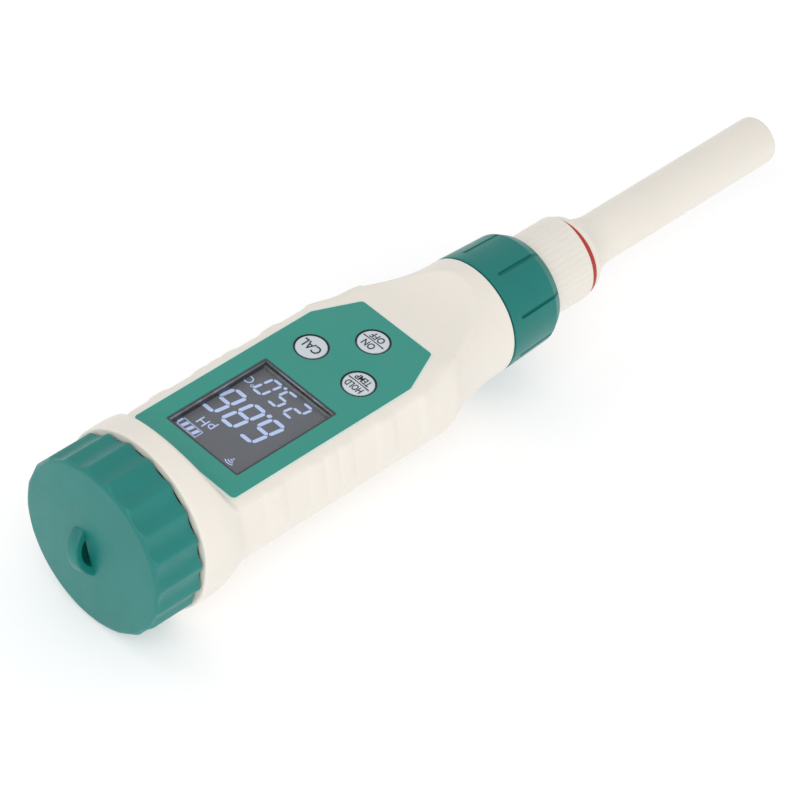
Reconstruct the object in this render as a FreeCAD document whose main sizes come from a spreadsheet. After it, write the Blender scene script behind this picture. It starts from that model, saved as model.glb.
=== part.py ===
import FreeCAD, Part

import math
import os
import re

import Sketcher
from FreeCAD import Placement, Rotation, Vector

# A pen-shaped pH meter lying on its back with the display up.
# +Y runs from the probe tip towards the battery cap, +X is the right side of the display
# when its text is read, and the origin is on the resting surface under the middle of the
# overall length. Radii and heights in the sheet are measured from the long axis of the pen,
# and every "_y" cell is a station along that axis. All sizes are millimetres.

DIMS = {
    # Whole object
    "axis_height": 19.0,
    "overcut": 1.0,
    # Housing: barrel, shoulder and the two necks
    "barrel_radius": 17.0,
    "barrel_rear_y": 66.0,
    "barrel_front_y": 12.35,
    "shoulder_radius": 19.4,
    "shoulder_rear_y": 81.8,
    "shoulder_front_y": 77.0,
    "shoulder_edge": 0.4,
    "shoulder_arc": 13.2,
    "nose_radius": 12.93,
    "nose_tangent_y": -7.0,
    "nose_end_y": -8.0,
    "nose_arc": 48.0,
    "rear_neck_radius": 16.0,
    "rear_neck_y": 89.5,
    "front_neck_radius": 11.3,
    "front_neck_y": -17.5,
    "nose_bore_radius": 9.0,
    "cavity_radius": 14.8,
    "cavity_top": 7.99,
    "cavity_front_y": 16.0,
    "rest_flat_front_y": 65.8,
    # Flat display face and the upright cheeks beside it, with their grip recesses
    "face_height": 9.79,
    "face_rear_y": 72.0,
    "face_front_y": 9.0,
    "runout_y": -3.9,
    "runout_height": 13.05,
    "runout_arc": 27.15,
    "ramp_end_y": 75.3,
    "ramp_end_height": 19.9,
    "cutter_top": 26.0,
    "cheek_half_width": 16.95,
    "cheek_tip": 12.0,
    "cheek_tip_y": 12.2,
    "cheek_bend_y": 20.2,
    "cheek_rear_y": 76.0,
    "cheek_round": 1.2,
    "grip_half_width": 16.4,
    "grip_middle_y": 46.6,
    "outer_recess_offset": 20.7,
    "inner_recess_offset": 9.0,
    "recess_half_length": 3.2,
    "recess_slope": 1.2,
    "groove_offset": 1.9,
    "groove_depth": 0.25,
    "flare_length": 5.0,
    # Overlay film, window and keys
    "overlay_half_width": 14.17,
    "overlay_tip_half_width": 9.82,
    "overlay_rear_y": 70.99,
    "overlay_bend_y": 23.92,
    "overlay_front_y": 13.65,
    "overlay_thickness": 0.3,
    "window_half_width": 10.02,
    "window_front_y": 39.87,
    "window_rear_y": 66.23,
    "window_thickness": 1.2,
    "window_gap": 0.05,
    "key_radius": 3.3,
    "key_hole_radius": 3.6,
    "key_top": 10.0,
    "key_lip_radius": 4.1,
    "key_lip_top": 7.88,
    "key_lip_bottom": 7.1,
    "key_post_radius": 1.5,
    "key_side_x": 6.67,
    "key_side_y": 30.83,
    "key_middle_y": 20.34,
    "switch_side": 5.0,
    "switch_top": 5.6,
    "stem_radius": 1.1,
    "stem_hole_radius": 1.4,
    "stem_top": 6.8,
    "stem_bottom": 5.0,
    "stem_hole_bottom": 4.4,
    # Display stack and circuit boards
    "board_top": 3.6,
    "board_thickness": 1.2,
    "board_half_width": 12.4,
    "board_front_y": 16.5,
    "board_rear_y": 75.0,
    "lcd_half_width": 10.9,
    "lcd_front_y": 38.6,
    "lcd_rear_y": 67.5,
    "lcd_bottom": 6.0,
    "lcd_top": 7.8,
    "frame_half_width": 12.2,
    "frame_front_y": 37.4,
    "frame_rear_y": 68.7,
    "backlight_front_y": 42.0,
    "gasket_wall": 0.5,
    "zebra_half_width": 9.0,
    "zebra_front_y": 39.2,
    "zebra_rear_y": 41.4,
    "chip_height": 1.0,
    "processor_y": 57.5,
    "processor_side": 7.0,
    "amplifier_x": -7.5,
    "amplifier_y": 47.5,
    "amplifier_width": 3.0,
    "amplifier_length": 5.0,
    "memory_x": 7.0,
    "memory_y": 47.5,
    "memory_width": 4.0,
    "memory_length": 3.0,
    "regulator_x": -6.5,
    "regulator_y": 65.5,
    "regulator_side": 3.0,
    "module_half_width": 6.0,
    "module_front_y": 20.0,
    "module_rear_y": 33.0,
    "module_bottom": 0.4,
    "ribbon_half_width": 3.0,
    "ribbon_thickness": 0.3,
    "ribbon_lap": 1.5,
    # Battery compartment
    "holder_radius": 14.4,
    "holder_top": 1.0,
    "holder_front_y": 38.0,
    "holder_rear_y": 88.0,
    "cell_x": 5.9,
    "cell_drop": 5.8,
    "cell_radius": 5.2,
    "cell_bore_radius": 5.5,
    "cell_bore_y": 40.0,
    "cell_front_y": 44.0,
    "cell_rear_y": 88.5,
    "nub_radius": 1.9,
    "nub_length": 1.0,
    "post_radius": 1.8,
    "screw_x": 10.6,
    "screw_y": 72.3,
    "screw_radius": 0.9,
    "screw_head_radius": 1.6,
    "screw_head_height": 0.9,
    "screw_depth": -0.8,
    "screw_hole_radius": 0.95,
    "strip_width": 3.0,
    "strip_thickness": 0.4,
    "strip_reach": 2.0,
    "spring_radius": 3.6,
    "spring_wire": 0.3,
    "spring_pitch": 1.0,
    "spring_turns": 3.2,
    "contact_rim": 0.5,
    "contact_gap": 0.05,
    "tail_overlap": 0.1,
    "screw_tip_gap": 0.3,
    "post_root": 0.5,
    # Battery cap
    "cap_radius": 19.1,
    "cap_rim_y": 82.3,
    "cap_face_y": 93.5,
    "cap_floor_y": 91.0,
    "cap_bore_radius": 16.3,
    "cap_round": 1.4,
    "flute_radius": 4.0,
    "flute_offset": 22.5,
    "flute_count": 20,
    "seal_outer_radius": 17.6,
    "seal_inner_radius": 16.3,
    "loop_x": 1.5,
    "loop_height": -1.8,
    "loop_half_span": 5.39,
    "loop_arc": 5.676,
    "loop_hole_half_span": 3.49,
    "loop_hole_arc": 3.643,
    "loop_width": 3.0,
    "loop_root": 0.5,
    "loop_turn": -68.5,
    "plate_radius": 12.5,
    "plate_thickness": 0.4,
    "ridge_inner_radius": 5.6,
    "ridge_outer_radius": 7.6,
    "ridge_y": 88.6,
    # Ring nut
    "nut_radius": 12.95,
    "nut_front_radius": 12.4,
    "nut_tip_radius": 11.1,
    "nut_rear_y": -8.35,
    "nut_chamfer_y": -20.8,
    "nut_front_y": -23.1,
    "nut_bore_radius": 11.6,
    "nut_lip_radius": 9.55,
    "nut_lip_y": -20.1,
    "nut_groove_width": 0.8,
    "nut_groove_rear_y": -10.9,
    "nut_groove_radius": 12.05,
    "nut_groove_turn": -16.5,
    "nut_groove_count": 8,
    # Electrode module
    "plug_radius": 8.6,
    "plug_end_y": -10.0,
    "plug_groove_radius": 7.6,
    "plug_groove_rear_y": -12.5,
    "plug_groove_front_y": -14.0,
    "plug_seal_radius": 8.15,
    "plug_seal_section": 0.55,
    "nose_gasket_inner_radius": 9.1,
    "nose_gasket_outer_radius": 10.9,
    "washer_radius": 11.2,
    "flange_radius": 11.0,
    "flange_rear_y": -18.1,
    "flange_front_y": -19.5,
    "collar_radius": 9.2,
    "collar_edge_y": -35.05,
    "collar_tip_radius": 9.0,
    "collar_front_y": -35.3,
    "rib_count": 56,
    "rib_gap_width": 0.35,
    "rib_gap_radius": 9.05,
    "rib_rear_y": -23.6,
    "spigot_radius": 5.2,
    "spigot_front_y": -40.3,
    "red_seal_radius": 8.9,
    "red_seal_inner_radius": 5.5,
    "stem_tube_radius": 4.0,
    "stem_tube_bore": 3.1,
    "stem_tube_rear_y": -14.5,
    "stem_tube_front_y": -84.0,
    "bulb_radius": 2.4,
    "bulb_wall": 0.5,
    "bulb_tip_y": -87.6,
    "glass_rear_y": -40.0,
    "junction_inner_radius": 2.5,
    "junction_length": 1.5,
    "wire_radius": 0.5,
    "wire_front_y": -84.5,
    "thermistor_radius": 0.35,
    "thermistor_x": 3.55,
    "thermistor_front_y": -86.5,
    "tail_bore_radius": 1.1,
    "contact_tail_radius": 1.0,
    "pin_radius": 0.5,
    "pin_hole_radius": 0.8,
    "pin_ring_radius": 4.5,
    "pin_count": 5,
    "pin_rear_y": -5.0,
    "socket_radius": 8.4,
    "socket_front_y": -9.7,
    "socket_rear_y": -2.0,
    "socket_hole_y": -4.0,
    "socket_board_rear_y": -0.8,
    "tail_radius": 0.4,
    "tail_rear_y": 0.4,
    # Probe cap
    "sleeve_base_y": -36.6,
    "sleeve_base_radius": 8.5,
    "sleeve_band": 1.3,
    "sleeve_flare_y": -40.4,
    "sleeve_flare_radius": 6.55,
    "sleeve_waist_y": -46.2,
    "sleeve_arc": 14.0,
    "sleeve_radius": 5.4,
    "sleeve_bore_radius": 4.5,
    "sleeve_mouth_radius": 5.5,
    "sleeve_mouth_y": -40.9,
    "sleeve_floor_y": -94.9,
    "sleeve_tip_y": -96.9,
    "sleeve_round": 1.2,
    "sponge_radius": 4.4,
    "sponge_rear_y": -90.8,
}

doc = FreeCAD.newDocument("ph_meter")
sheet = doc.addObject("Spreadsheet::Sheet", "dims")
for row, (alias, size) in enumerate(DIMS.items(), start=1):
    sheet.set("A%d" % row, alias)
    sheet.set("B%d" % row, str(size))
    sheet.setAlias("B%d" % row, alias)
doc.recompute()


# ---------------------------------------------------------------- formulas and placement

def number(formula):
    """Value of a formula: cell names and numbers multiplied by *, with + and - between spaces."""
    total = 0.0
    sign = 1.0
    for word in formula.split():
        if word in ("+", "-"):
            sign = 1.0 if word == "+" else -1.0
            continue
        term = -sign if word.startswith("-") else sign
        for factor in word.lstrip("-").split("*"):
            term *= DIMS[factor] if factor in DIMS else float(factor)
        total += term
    return total


def minus(left, right):
    """Formula for left less right, both of them sums of terms."""
    swapped = {"+": "-", "-": "+"}
    return left + " - " + " ".join(swapped.get(word, word) for word in right.split())


def from_sheet(formula):
    """The same formula with every cell name read from the sheet."""
    return re.sub(r"[a-z_]+", lambda word: "dims." + word.group(0), formula)


def bind(item, prop, formula):
    item.setExpression(prop, from_sheet(formula))


def place(item, x="0", y="0", z="axis_height", turn=None):
    """Put an item where three formulas say, after an optional fixed rotation."""
    if turn is not None:
        item.Placement = Placement(Vector(0, 0, 0), turn)
    for axis, formula in zip("xyz", (x, y, z)):
        bind(item, ".Placement.Base." + axis, formula)
    return item


ALONG_Y = Rotation(Vector(1, 0, 0), -90)


# ---------------------------------------------------------------- sketches and features

def plane_of(body, role):
    return next(item for item in body.Origin.OriginFeatures if item.Role == role)


def arc_middle(start, end, radius, side):
    """Middle of the arc from start to end; side is 1 if it bulges to the right, -1 to the left."""
    chord = end - start
    right = Vector(chord.y, -chord.x, 0).normalize()
    rise = radius - math.sqrt(radius ** 2 - (chord.Length / 2) ** 2)
    return start + chord * 0.5 + right * rise * side


def hold(sketch, edge, point, corner):
    """Tie one end of an edge to the two formulas of its corner."""
    for kind, formula, axis in (("DistanceX", corner[0], -2), ("DistanceY", corner[1], -1)):
        size = number(formula)
        if size == 0:
            sketch.addConstraint(Sketcher.Constraint("PointOnObject", edge, point, axis))
        else:
            index = sketch.addConstraint(Sketcher.Constraint(kind, -1, 1, edge, point, size))
            bind(sketch, "Constraints[%d]" % index, formula)


def outline(sketch, corners):
    """Closed outline. A corner is (x, y), or (x, y, radius, side) when an arc leads to it."""
    spots = [Vector(number(corner[0]), number(corner[1]), 0) for corner in corners]
    ends = []
    for index, start in enumerate(spots):
        after = (index + 1) % len(spots)
        if len(corners[after]) == 4:
            formula, side = corners[after][2:]
            radius = number(formula)
            middle = arc_middle(start, spots[after], radius, side)
            edge = sketch.addGeometry(Part.Arc(start, middle, spots[after]), False)
            size = sketch.addConstraint(Sketcher.Constraint("Radius", edge, radius))
            bind(sketch, "Constraints[%d]" % size, formula)
        else:
            edge = sketch.addGeometry(Part.LineSegment(start, spots[after]), False)
        forward = sketch.getPoint(edge, 1).distanceToPoint(start) < 1e-6
        ends.append((edge, 1, 2) if forward else (edge, 2, 1))
    for index, (edge, first, _) in enumerate(ends):
        before = ends[index - 1]
        sketch.addConstraint(Sketcher.Constraint("Coincident", before[0], before[2], edge, first))
        hold(sketch, edge, first, corners[index])


def new_sketch(body, role, level=None, turn=None):
    """Sketch on one of the body's own planes, lifted by a formula or turned about its V axis."""
    sketch = body.newObject("Sketcher::SketchObject", body.Label + "_sketch")
    sketch.AttachmentSupport = [(plane_of(body, role), "")]
    sketch.MapMode = "FlatFace"
    if turn is not None:
        spin = Rotation(Vector(0, 1, 0), number(turn))
        sketch.AttachmentOffset = Placement(Vector(0, 0, 0), spin)
    if level is not None:
        bind(sketch, ".AttachmentOffset.Base.z", level)
    return sketch


def new_body(label, x="0", y="0", z="axis_height"):
    body = doc.addObject("PartDesign::Body", label)
    body.Label = label
    return place(body, x, y, z)


def turned(label, corners, role="XY_Plane", **spot):
    """Body turned about the pen's axis (XY plane: radius, station) or about Z (XZ plane)."""
    body = new_body(label, **spot)
    sketch = new_sketch(body, role)
    outline(sketch, corners)
    spin = body.newObject("PartDesign::Revolution", label + "_turn")
    spin.Profile = sketch
    spin.ReferenceAxis = (sketch, ["V_Axis"])
    spin.Angle = 360
    doc.recompute()
    return body


def padded(label, role, corners, length, level=None, both_ways=False, **spot):
    """Body made by padding a closed outline."""
    body = new_body(label, **spot)
    add_pad(body, role, corners, length, level, both_ways)
    return body


def add_pad(body, role, corners, length, level=None, both_ways=False, turn=None):
    sketch = new_sketch(body, role, level, turn)
    outline(sketch, corners)
    pad = body.newObject("PartDesign::Pad", body.Label + "_pad")
    pad.Profile = sketch
    bind(pad, "Length", length)
    pad.SideType = "Symmetric" if both_ways else "One side"
    doc.recompute()
    return pad


def pocket_ring(body, sketch, length, count):
    """Pocket a sketch towards the battery cap and repeat it around the pen's axis."""
    before = body.Shape.Volume
    pocket = body.newObject("PartDesign::Pocket", body.Label + "_pocket")
    pocket.Profile = sketch
    bind(pocket, "Length", length)
    doc.recompute()
    if body.Shape.Volume >= before:
        raise ValueError("the pocket in %s removed nothing" % body.Label)
    pattern = body.newObject("PartDesign::PolarPattern", body.Label + "_pattern")
    pattern.Originals = [pocket]
    pattern.Axis = (plane_of(body, "Y_Axis"), [""])
    pattern.Angle = 360
    bind(pattern, "Occurrences", count)
    body.Tip = pattern
    doc.recompute()


def mirrored(right):
    """Closed outline from its right half, listed from front to rear."""
    return right + [(minus("0", x), y) for x, y in reversed(right)]


def rectangle(half_width, front, rear):
    return mirrored([(half_width, front), (half_width, rear)])


# ---------------------------------------------------------------- primitives and booleans

def rod(label, radius, front, rear, x="0", z="axis_height"):
    """Cylinder along the pen's axis between two stations."""
    item = doc.addObject("Part::Cylinder", label)
    item.Label = label
    bind(item, "Radius", radius)
    bind(item, "Height", minus(rear, front))
    return place(item, x, front, z, ALONG_Y)


def post(label, radius, low, high, x="0", y="0"):
    """Upright cylinder between two heights above the pen's axis."""
    item = doc.addObject("Part::Cylinder", label)
    item.Label = label
    bind(item, "Radius", radius)
    bind(item, "Height", minus(high, low))
    return place(item, x, y, "axis_height + " + low)


def block(label, x_low, x_high, front, rear, low, high):
    """Box between two x values, two stations and two heights above the pen's axis."""
    item = doc.addObject("Part::Box", label)
    item.Label = label
    bind(item, "Length", minus(x_high, x_low))
    bind(item, "Width", minus(rear, front))
    bind(item, "Height", minus(high, low))
    return place(item, x_low, front, "axis_height + " + low)


def wide_block(label, half_width, front, rear, low, high):
    """Box centred on the pen's axis."""
    return block(label, minus("0", half_width), half_width, front, rear, low, high)


def cut(label, base, *tools):
    item = doc.addObject("Part::Cut", label)
    item.Label = label
    item.Base = base
    item.Tool = tools[0] if len(tools) == 1 else fuse(label + "_tools", *tools)
    doc.recompute()
    if item.Shape.Volume >= base.Shape.Volume:
        raise ValueError("the tools of %s removed nothing" % label)
    return item


def fuse(label, *shapes):
    item = doc.addObject("Part::MultiFuse", label)
    item.Label = label
    item.Shapes = list(shapes)
    doc.recompute()
    return item


def common(label, *shapes):
    item = doc.addObject("Part::MultiCommon", label)
    item.Label = label
    item.Shapes = list(shapes)
    doc.recompute()
    return item


def group(label, *shapes):
    """Separate like solids that share one node."""
    item = doc.addObject("Part::Compound", label)
    item.Label = label
    item.Links = list(shapes)
    doc.recompute()
    return item


def around(radius, count):
    """Formulas for x and z of points spread evenly on a circle about the pen's axis."""
    for index in range(count):
        angle = 2 * math.pi * index / count
        yield "%s*%.6f" % (radius, math.cos(angle)), "axis_height + %s*%.6f" % (radius, math.sin(angle))


# ---------------------------------------------------------------- housing

KEYS = {
    "cal": ("key_side_x", "key_side_y"),
    "on_off": ("0", "key_middle_y"),
    "hold_temp": ("-key_side_x", "key_side_y"),
}

OVERLAY_OUTLINE = mirrored([
    ("overlay_tip_half_width", "overlay_front_y"),
    ("overlay_half_width", "overlay_bend_y"),
    ("overlay_half_width", "overlay_rear_y"),
])


def make_barrel():
    """Round core: rear thread neck, shoulder, barrel, flared nose and front thread neck."""
    return turned("barrel", [
        ("0", "front_neck_y"),
        ("front_neck_radius", "front_neck_y"),
        ("front_neck_radius", "nose_end_y"),
        ("nose_radius", "nose_end_y"),
        ("nose_radius", "nose_tangent_y"),
        ("barrel_radius", "barrel_front_y", "nose_arc", -1),
        ("barrel_radius", "barrel_rear_y"),
        ("0.5*barrel_radius + 0.5*shoulder_radius", "0.5*barrel_rear_y + 0.5*shoulder_front_y",
         "shoulder_arc", -1),
        ("shoulder_radius", "shoulder_front_y", "shoulder_arc", 1),
        ("shoulder_radius", "shoulder_rear_y - shoulder_edge"),
        ("shoulder_radius - shoulder_edge", "shoulder_rear_y"),
        ("rear_neck_radius", "shoulder_rear_y"),
        ("rear_neck_radius", "rear_neck_y"),
        ("0", "rear_neck_y"),
    ])


def make_cheeks():
    """Upright sides that square off the upper half of the barrel."""
    body = padded("cheeks", "XY_Plane", mirrored([
        ("cheek_tip", "cheek_tip_y"),
        ("cheek_half_width", "cheek_bend_y"),
        ("cheek_half_width", "cheek_rear_y"),
    ]), "face_height")
    top = [
        "Edge%d" % (index + 1)
        for index, edge in enumerate(body.Shape.Edges)
        if min(vertex.Z for vertex in edge.Vertexes) > number("axis_height + 0.9*face_height")
        and abs(edge.CenterOfMass.x) > number("0.5*cheek_tip")
    ]
    pad = body.Tip
    rounding = body.newObject("PartDesign::Fillet", "cheeks_round")
    rounding.Base = (pad, top)
    bind(rounding, "Radius", "cheek_round")
    body.Tip = rounding
    doc.recompute()
    return body


def recess(centre):
    """Right-hand outline of one long finger recess, given the middle of its length."""
    return [
        ("cheek_half_width", centre + " - recess_half_length - recess_slope"),
        ("grip_half_width", centre + " - recess_half_length"),
        ("grip_half_width", centre + " + recess_half_length"),
        ("cheek_half_width", centre + " + recess_half_length + recess_slope"),
    ]


def groove(centre):
    """Right-hand outline of one of the two narrow grooves in the middle of the grip."""
    return [
        ("cheek_half_width", centre + " - recess_slope"),
        ("cheek_half_width - groove_depth", centre),
        ("cheek_half_width", centre + " + recess_slope"),
    ]


def make_grip_plan():
    """Plan outline that trims both sides: four long recesses, two grooves and the rear flare."""
    outer = recess("grip_middle_y + outer_recess_offset")
    return padded("grip_plan", "XY_Plane", mirrored([
        ("cheek_half_width", "front_neck_y - overcut"),
        *recess("grip_middle_y - outer_recess_offset"),
        *recess("grip_middle_y - inner_recess_offset"),
        *groove("grip_middle_y - groove_offset"),
        *groove("grip_middle_y + groove_offset"),
        *recess("grip_middle_y + inner_recess_offset"),
        *outer[:3],
        ("shoulder_radius + overcut",
         "grip_middle_y + outer_recess_offset + recess_half_length + flare_length"),
        ("shoulder_radius + overcut", "rear_neck_y + overcut"),
    ]), "3*shoulder_radius", both_ways=True)


def make_face_cutter():
    """Everything above the display face, with a ramp up to the shoulder and a scoop onto the nose."""
    return padded("face_cutter", "YZ_Plane", [
        ("runout_y", "cutter_top"),
        ("runout_y", "runout_height"),
        ("face_front_y", "face_height", "runout_arc", 1),
        ("face_rear_y", "face_height"),
        ("ramp_end_y", "ramp_end_height"),
        ("shoulder_front_y", "shoulder_radius"),
        ("shoulder_front_y", "cutter_top"),
    ], "3*barrel_radius", both_ways=True)


def make_cavity():
    """D-shaped room for boards and battery holder, open at the rear."""
    round_room = rod("cavity_round", "cavity_radius", "cavity_front_y", "rear_neck_y + overcut")
    lid = wide_block("cavity_lid", "barrel_radius", "cavity_front_y - overcut", "rear_neck_y + 2*overcut",
                     "cavity_top", "shoulder_radius")
    return cut("cavity", round_room, lid)


def make_housing():
    blank = common("housing_gripped", fuse("housing_blank", make_barrel(), make_cheeks()), make_grip_plan())
    solid = cut("housing_solid", blank, make_face_cutter())
    tools = [
        make_cavity(),
        rod("nose_bore", "nose_bore_radius", "front_neck_y - overcut", "cavity_front_y + overcut"),
        wide_block("window_hole", "window_half_width", "window_front_y", "window_rear_y",
                   "cavity_top - overcut", "face_height + overcut"),
        padded("overlay_recess", "XY_Plane", OVERLAY_OUTLINE, "2*overlay_thickness",
               level="face_height - overlay_thickness"),
        wide_block("rest_flat", "barrel_radius", "rest_flat_front_y", "shoulder_rear_y + overcut",
                   "-shoulder_radius - overcut", "-axis_height"),
    ]
    for name, (x, y) in KEYS.items():
        tools.append(post("key_hole_" + name, "key_hole_radius", "cavity_top - overcut",
                          "face_height + overcut", x, y))
    return cut("housing", solid, *tools)


# ---------------------------------------------------------------- face, keys and display

def make_overlay():
    film = padded("overlay_film", "XY_Plane", OVERLAY_OUTLINE, "overlay_thickness",
                  level="face_height - overlay_thickness")
    holes = [wide_block("overlay_window", "window_half_width", "window_front_y", "window_rear_y",
                        "cavity_top", "face_height + overcut")]
    for name, (x, y) in KEYS.items():
        holes.append(post("overlay_hole_" + name, "key_hole_radius", "cavity_top",
                          "face_height + overcut", x, y))
    return cut("front_overlay", film, *holes)


def make_window():
    """Clear lens, a hair smaller than its opening, flush with the overlay."""
    return padded("window_lens", "XY_Plane",
                  rectangle("window_half_width - window_gap",
                            "window_front_y + window_gap", "window_rear_y - window_gap"),
                  "window_thickness", level="face_height - window_thickness")


def make_gasket():
    """Dark foam frame between the lens and the display glass."""
    outer = wide_block("gasket_outer", "window_half_width - window_gap",
                       "window_front_y + window_gap", "window_rear_y - window_gap",
                       "lcd_top", "face_height - window_thickness")
    inner = wide_block("gasket_inner", "window_half_width - window_gap - gasket_wall",
                       "window_front_y + window_gap + gasket_wall",
                       "window_rear_y - window_gap - gasket_wall",
                       "lcd_top - overcut", "face_height")
    return cut("window_gasket", outer, inner)


def make_key(name, x, y):
    """Round key with a retaining lip and a post that bears on the switch stem."""
    return turned("key_" + name, [
        ("0", "stem_top"),
        ("key_post_radius", "stem_top"),
        ("key_post_radius", "key_lip_bottom"),
        ("key_lip_radius", "key_lip_bottom"),
        ("key_lip_radius", "key_lip_top"),
        ("key_radius", "key_lip_top"),
        ("key_radius", "key_top"),
        ("0", "key_top"),
    ], role="XZ_Plane", x=x, y=y)


def make_switch(name, x, y):
    """Tactile switch body with the well that its stem moves in."""
    case = block("switch_case_" + name, x + " - 0.5*switch_side", x + " + 0.5*switch_side",
                 y + " - 0.5*switch_side", y + " + 0.5*switch_side", "board_top", "switch_top")
    well = post("switch_well_" + name, "stem_hole_radius", "stem_hole_bottom",
                "switch_top + overcut", x, y)
    return cut("switch_" + name, case, well)


def make_display():
    frame = wide_block("lcd_frame_blank", "frame_half_width", "frame_front_y", "frame_rear_y",
                       "board_top", "lcd_top")
    room = wide_block("lcd_frame_room", "lcd_half_width", "lcd_front_y", "lcd_rear_y",
                      "board_top - overcut", "lcd_top + overcut")
    return [
        cut("lcd_frame", frame, room),
        wide_block("lcd_glass", "lcd_half_width", "lcd_front_y", "lcd_rear_y", "lcd_bottom", "lcd_top"),
        wide_block("lcd_backlight", "lcd_half_width", "backlight_front_y", "lcd_rear_y",
                   "board_top", "lcd_bottom"),
        wide_block("zebra_strip", "zebra_half_width", "zebra_front_y", "zebra_rear_y",
                   "board_top", "lcd_bottom"),
    ]


# ---------------------------------------------------------------- boards and battery holder

SCREW_SIDES = {"left": "-screw_x", "right": "screw_x"}
CHIPS = {
    "processor": ("0", "processor_y", "processor_side", "processor_side"),
    "amplifier": ("amplifier_x", "amplifier_y", "amplifier_width", "amplifier_length"),
    "memory": ("memory_x", "memory_y", "memory_width", "memory_length"),
    "regulator": ("regulator_x", "regulator_y", "regulator_side", "regulator_side"),
}


def make_chip(name, x, y, width, length):
    """Chip under the main board, centred on x and y."""
    return block(name, x + " - 0.5*" + width, x + " + 0.5*" + width,
                 y + " - 0.5*" + length, y + " + 0.5*" + length,
                 "board_top - board_thickness - chip_height", "board_top - board_thickness")


def make_boards():
    board = wide_block("board_blank", "board_half_width", "board_front_y", "board_rear_y",
                       "board_top - board_thickness", "board_top")
    holes = [
        post("board_hole_" + side, "screw_hole_radius", "0", "board_top + overcut", x, "screw_y")
        for side, x in SCREW_SIDES.items()
    ]
    chips = [make_chip(name, *spot) for name, spot in CHIPS.items()]
    screws = []
    for side, x in SCREW_SIDES.items():
        head = post("screw_head_" + side, "screw_head_radius", "board_top",
                    "board_top + screw_head_height", x, "screw_y")
        shank = post("screw_shank_" + side, "screw_radius", "screw_depth", "board_top", x, "screw_y")
        screws.append(fuse("board_screw_" + side, head, shank))
    return [
        cut("main_pcb", board, *holes),
        group("board_chips", *chips),
        wide_block("wireless_module", "module_half_width", "module_front_y", "module_rear_y",
                   "module_bottom", "board_top - board_thickness"),
        group("board_screws", *screws),
    ]


def make_holder():
    """Half-round carrier for two cells side by side, with posts for the main board."""
    blank = rod("holder_blank", "holder_radius", "holder_front_y", "holder_rear_y")
    lid = wide_block("holder_lid", "barrel_radius", "holder_front_y - overcut",
                     "holder_rear_y + overcut", "holder_top", "barrel_radius")
    posts = [
        post("holder_post_" + side, "post_radius", "holder_top - post_root", "board_top - board_thickness",
             x, "screw_y")
        for side, x in SCREW_SIDES.items()
    ]
    tools = [
        post("holder_screw_hole_" + side, "screw_hole_radius", "screw_depth - screw_tip_gap", "board_top",
             x, "screw_y")
        for side, x in SCREW_SIDES.items()
    ]
    for side in ("-cell_x", "cell_x"):
        name = "left" if side.startswith("-") else "right"
        tools.append(rod("cell_bore_" + name, "cell_bore_radius", "cell_bore_y", "holder_rear_y + overcut",
                         side, "axis_height - cell_drop"))
        tools.append(rod("tail_bore_" + name, "tail_bore_radius", "holder_front_y - overcut",
                         "cell_bore_y + overcut", side, "axis_height - cell_drop"))
    return cut("battery_holder", fuse("holder_body", cut("holder_half", blank, lid), *posts), *tools)


def make_cells():
    left = turned("cell_left", [
        ("0", "cell_front_y"),
        ("cell_radius", "cell_front_y"),
        ("cell_radius", "cell_rear_y - nub_length"),
        ("nub_radius", "cell_rear_y - nub_length"),
        ("nub_radius", "cell_rear_y"),
        ("0", "cell_rear_y"),
    ], x="-cell_x", z="axis_height - cell_drop")
    right = turned("cell_right", [
        ("0", "cell_front_y"),
        ("nub_radius", "cell_front_y"),
        ("nub_radius", "cell_front_y + nub_length"),
        ("cell_radius", "cell_front_y + nub_length"),
        ("cell_radius", "cell_rear_y"),
        ("0", "cell_rear_y"),
    ], x="cell_x", z="axis_height - cell_drop")
    return [left, right]


def make_spring():
    """Coil that presses the left cell's flat end, on a base disc with a tail through the wall."""
    coil = new_body("spring_coil", x="-cell_x", z="axis_height - cell_drop")
    sketch = new_sketch(coil, "XY_Plane")
    centre = Vector(number("spring_radius"), number("cell_bore_y + strip_thickness"), 0)
    wire = sketch.addGeometry(Part.Circle(centre, Vector(0, 0, 1), number("spring_wire")), False)
    hold(sketch, wire, 3, ("spring_radius", "cell_bore_y + strip_thickness"))
    size = sketch.addConstraint(Sketcher.Constraint("Radius", wire, number("spring_wire")))
    bind(sketch, "Constraints[%d]" % size, "spring_wire")
    helix = coil.newObject("PartDesign::AdditiveHelix", "spring_turns")
    helix.Profile = sketch
    helix.ReferenceAxis = (sketch, ["V_Axis"])
    bind(helix, "Pitch", "spring_pitch")
    bind(helix, "Height", "spring_turns*spring_pitch")
    doc.recompute()
    disc = rod("spring_disc", "spring_radius + contact_rim", "cell_bore_y", "cell_bore_y + strip_thickness",
               "-cell_x", "axis_height - cell_drop")
    tail = rod("spring_tail", "contact_tail_radius", "holder_front_y", "cell_bore_y + tail_overlap",
               "-cell_x", "axis_height - cell_drop")
    return fuse("spring_contact", coil, disc, tail)


def make_contacts():
    disc = rod("plate_disc", "spring_radius + contact_rim",
               "cell_front_y - strip_thickness - contact_gap", "cell_front_y - contact_gap",
               "cell_x", "axis_height - cell_drop")
    tail = rod("plate_tail", "contact_tail_radius", "holder_front_y",
               "cell_front_y - strip_thickness", "cell_x", "axis_height - cell_drop")
    strips = [
        block(name, x + " - 0.5*strip_width", x + " + 0.5*strip_width",
              "holder_front_y - strip_thickness", "holder_front_y", "-cell_drop - strip_reach",
              "board_top - board_thickness")
        for name, x in (("strip_minus", "-cell_x"), ("strip_plus", "cell_x"))
    ]
    return [make_spring(), fuse("plate_contact", disc, tail)] + strips


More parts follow.
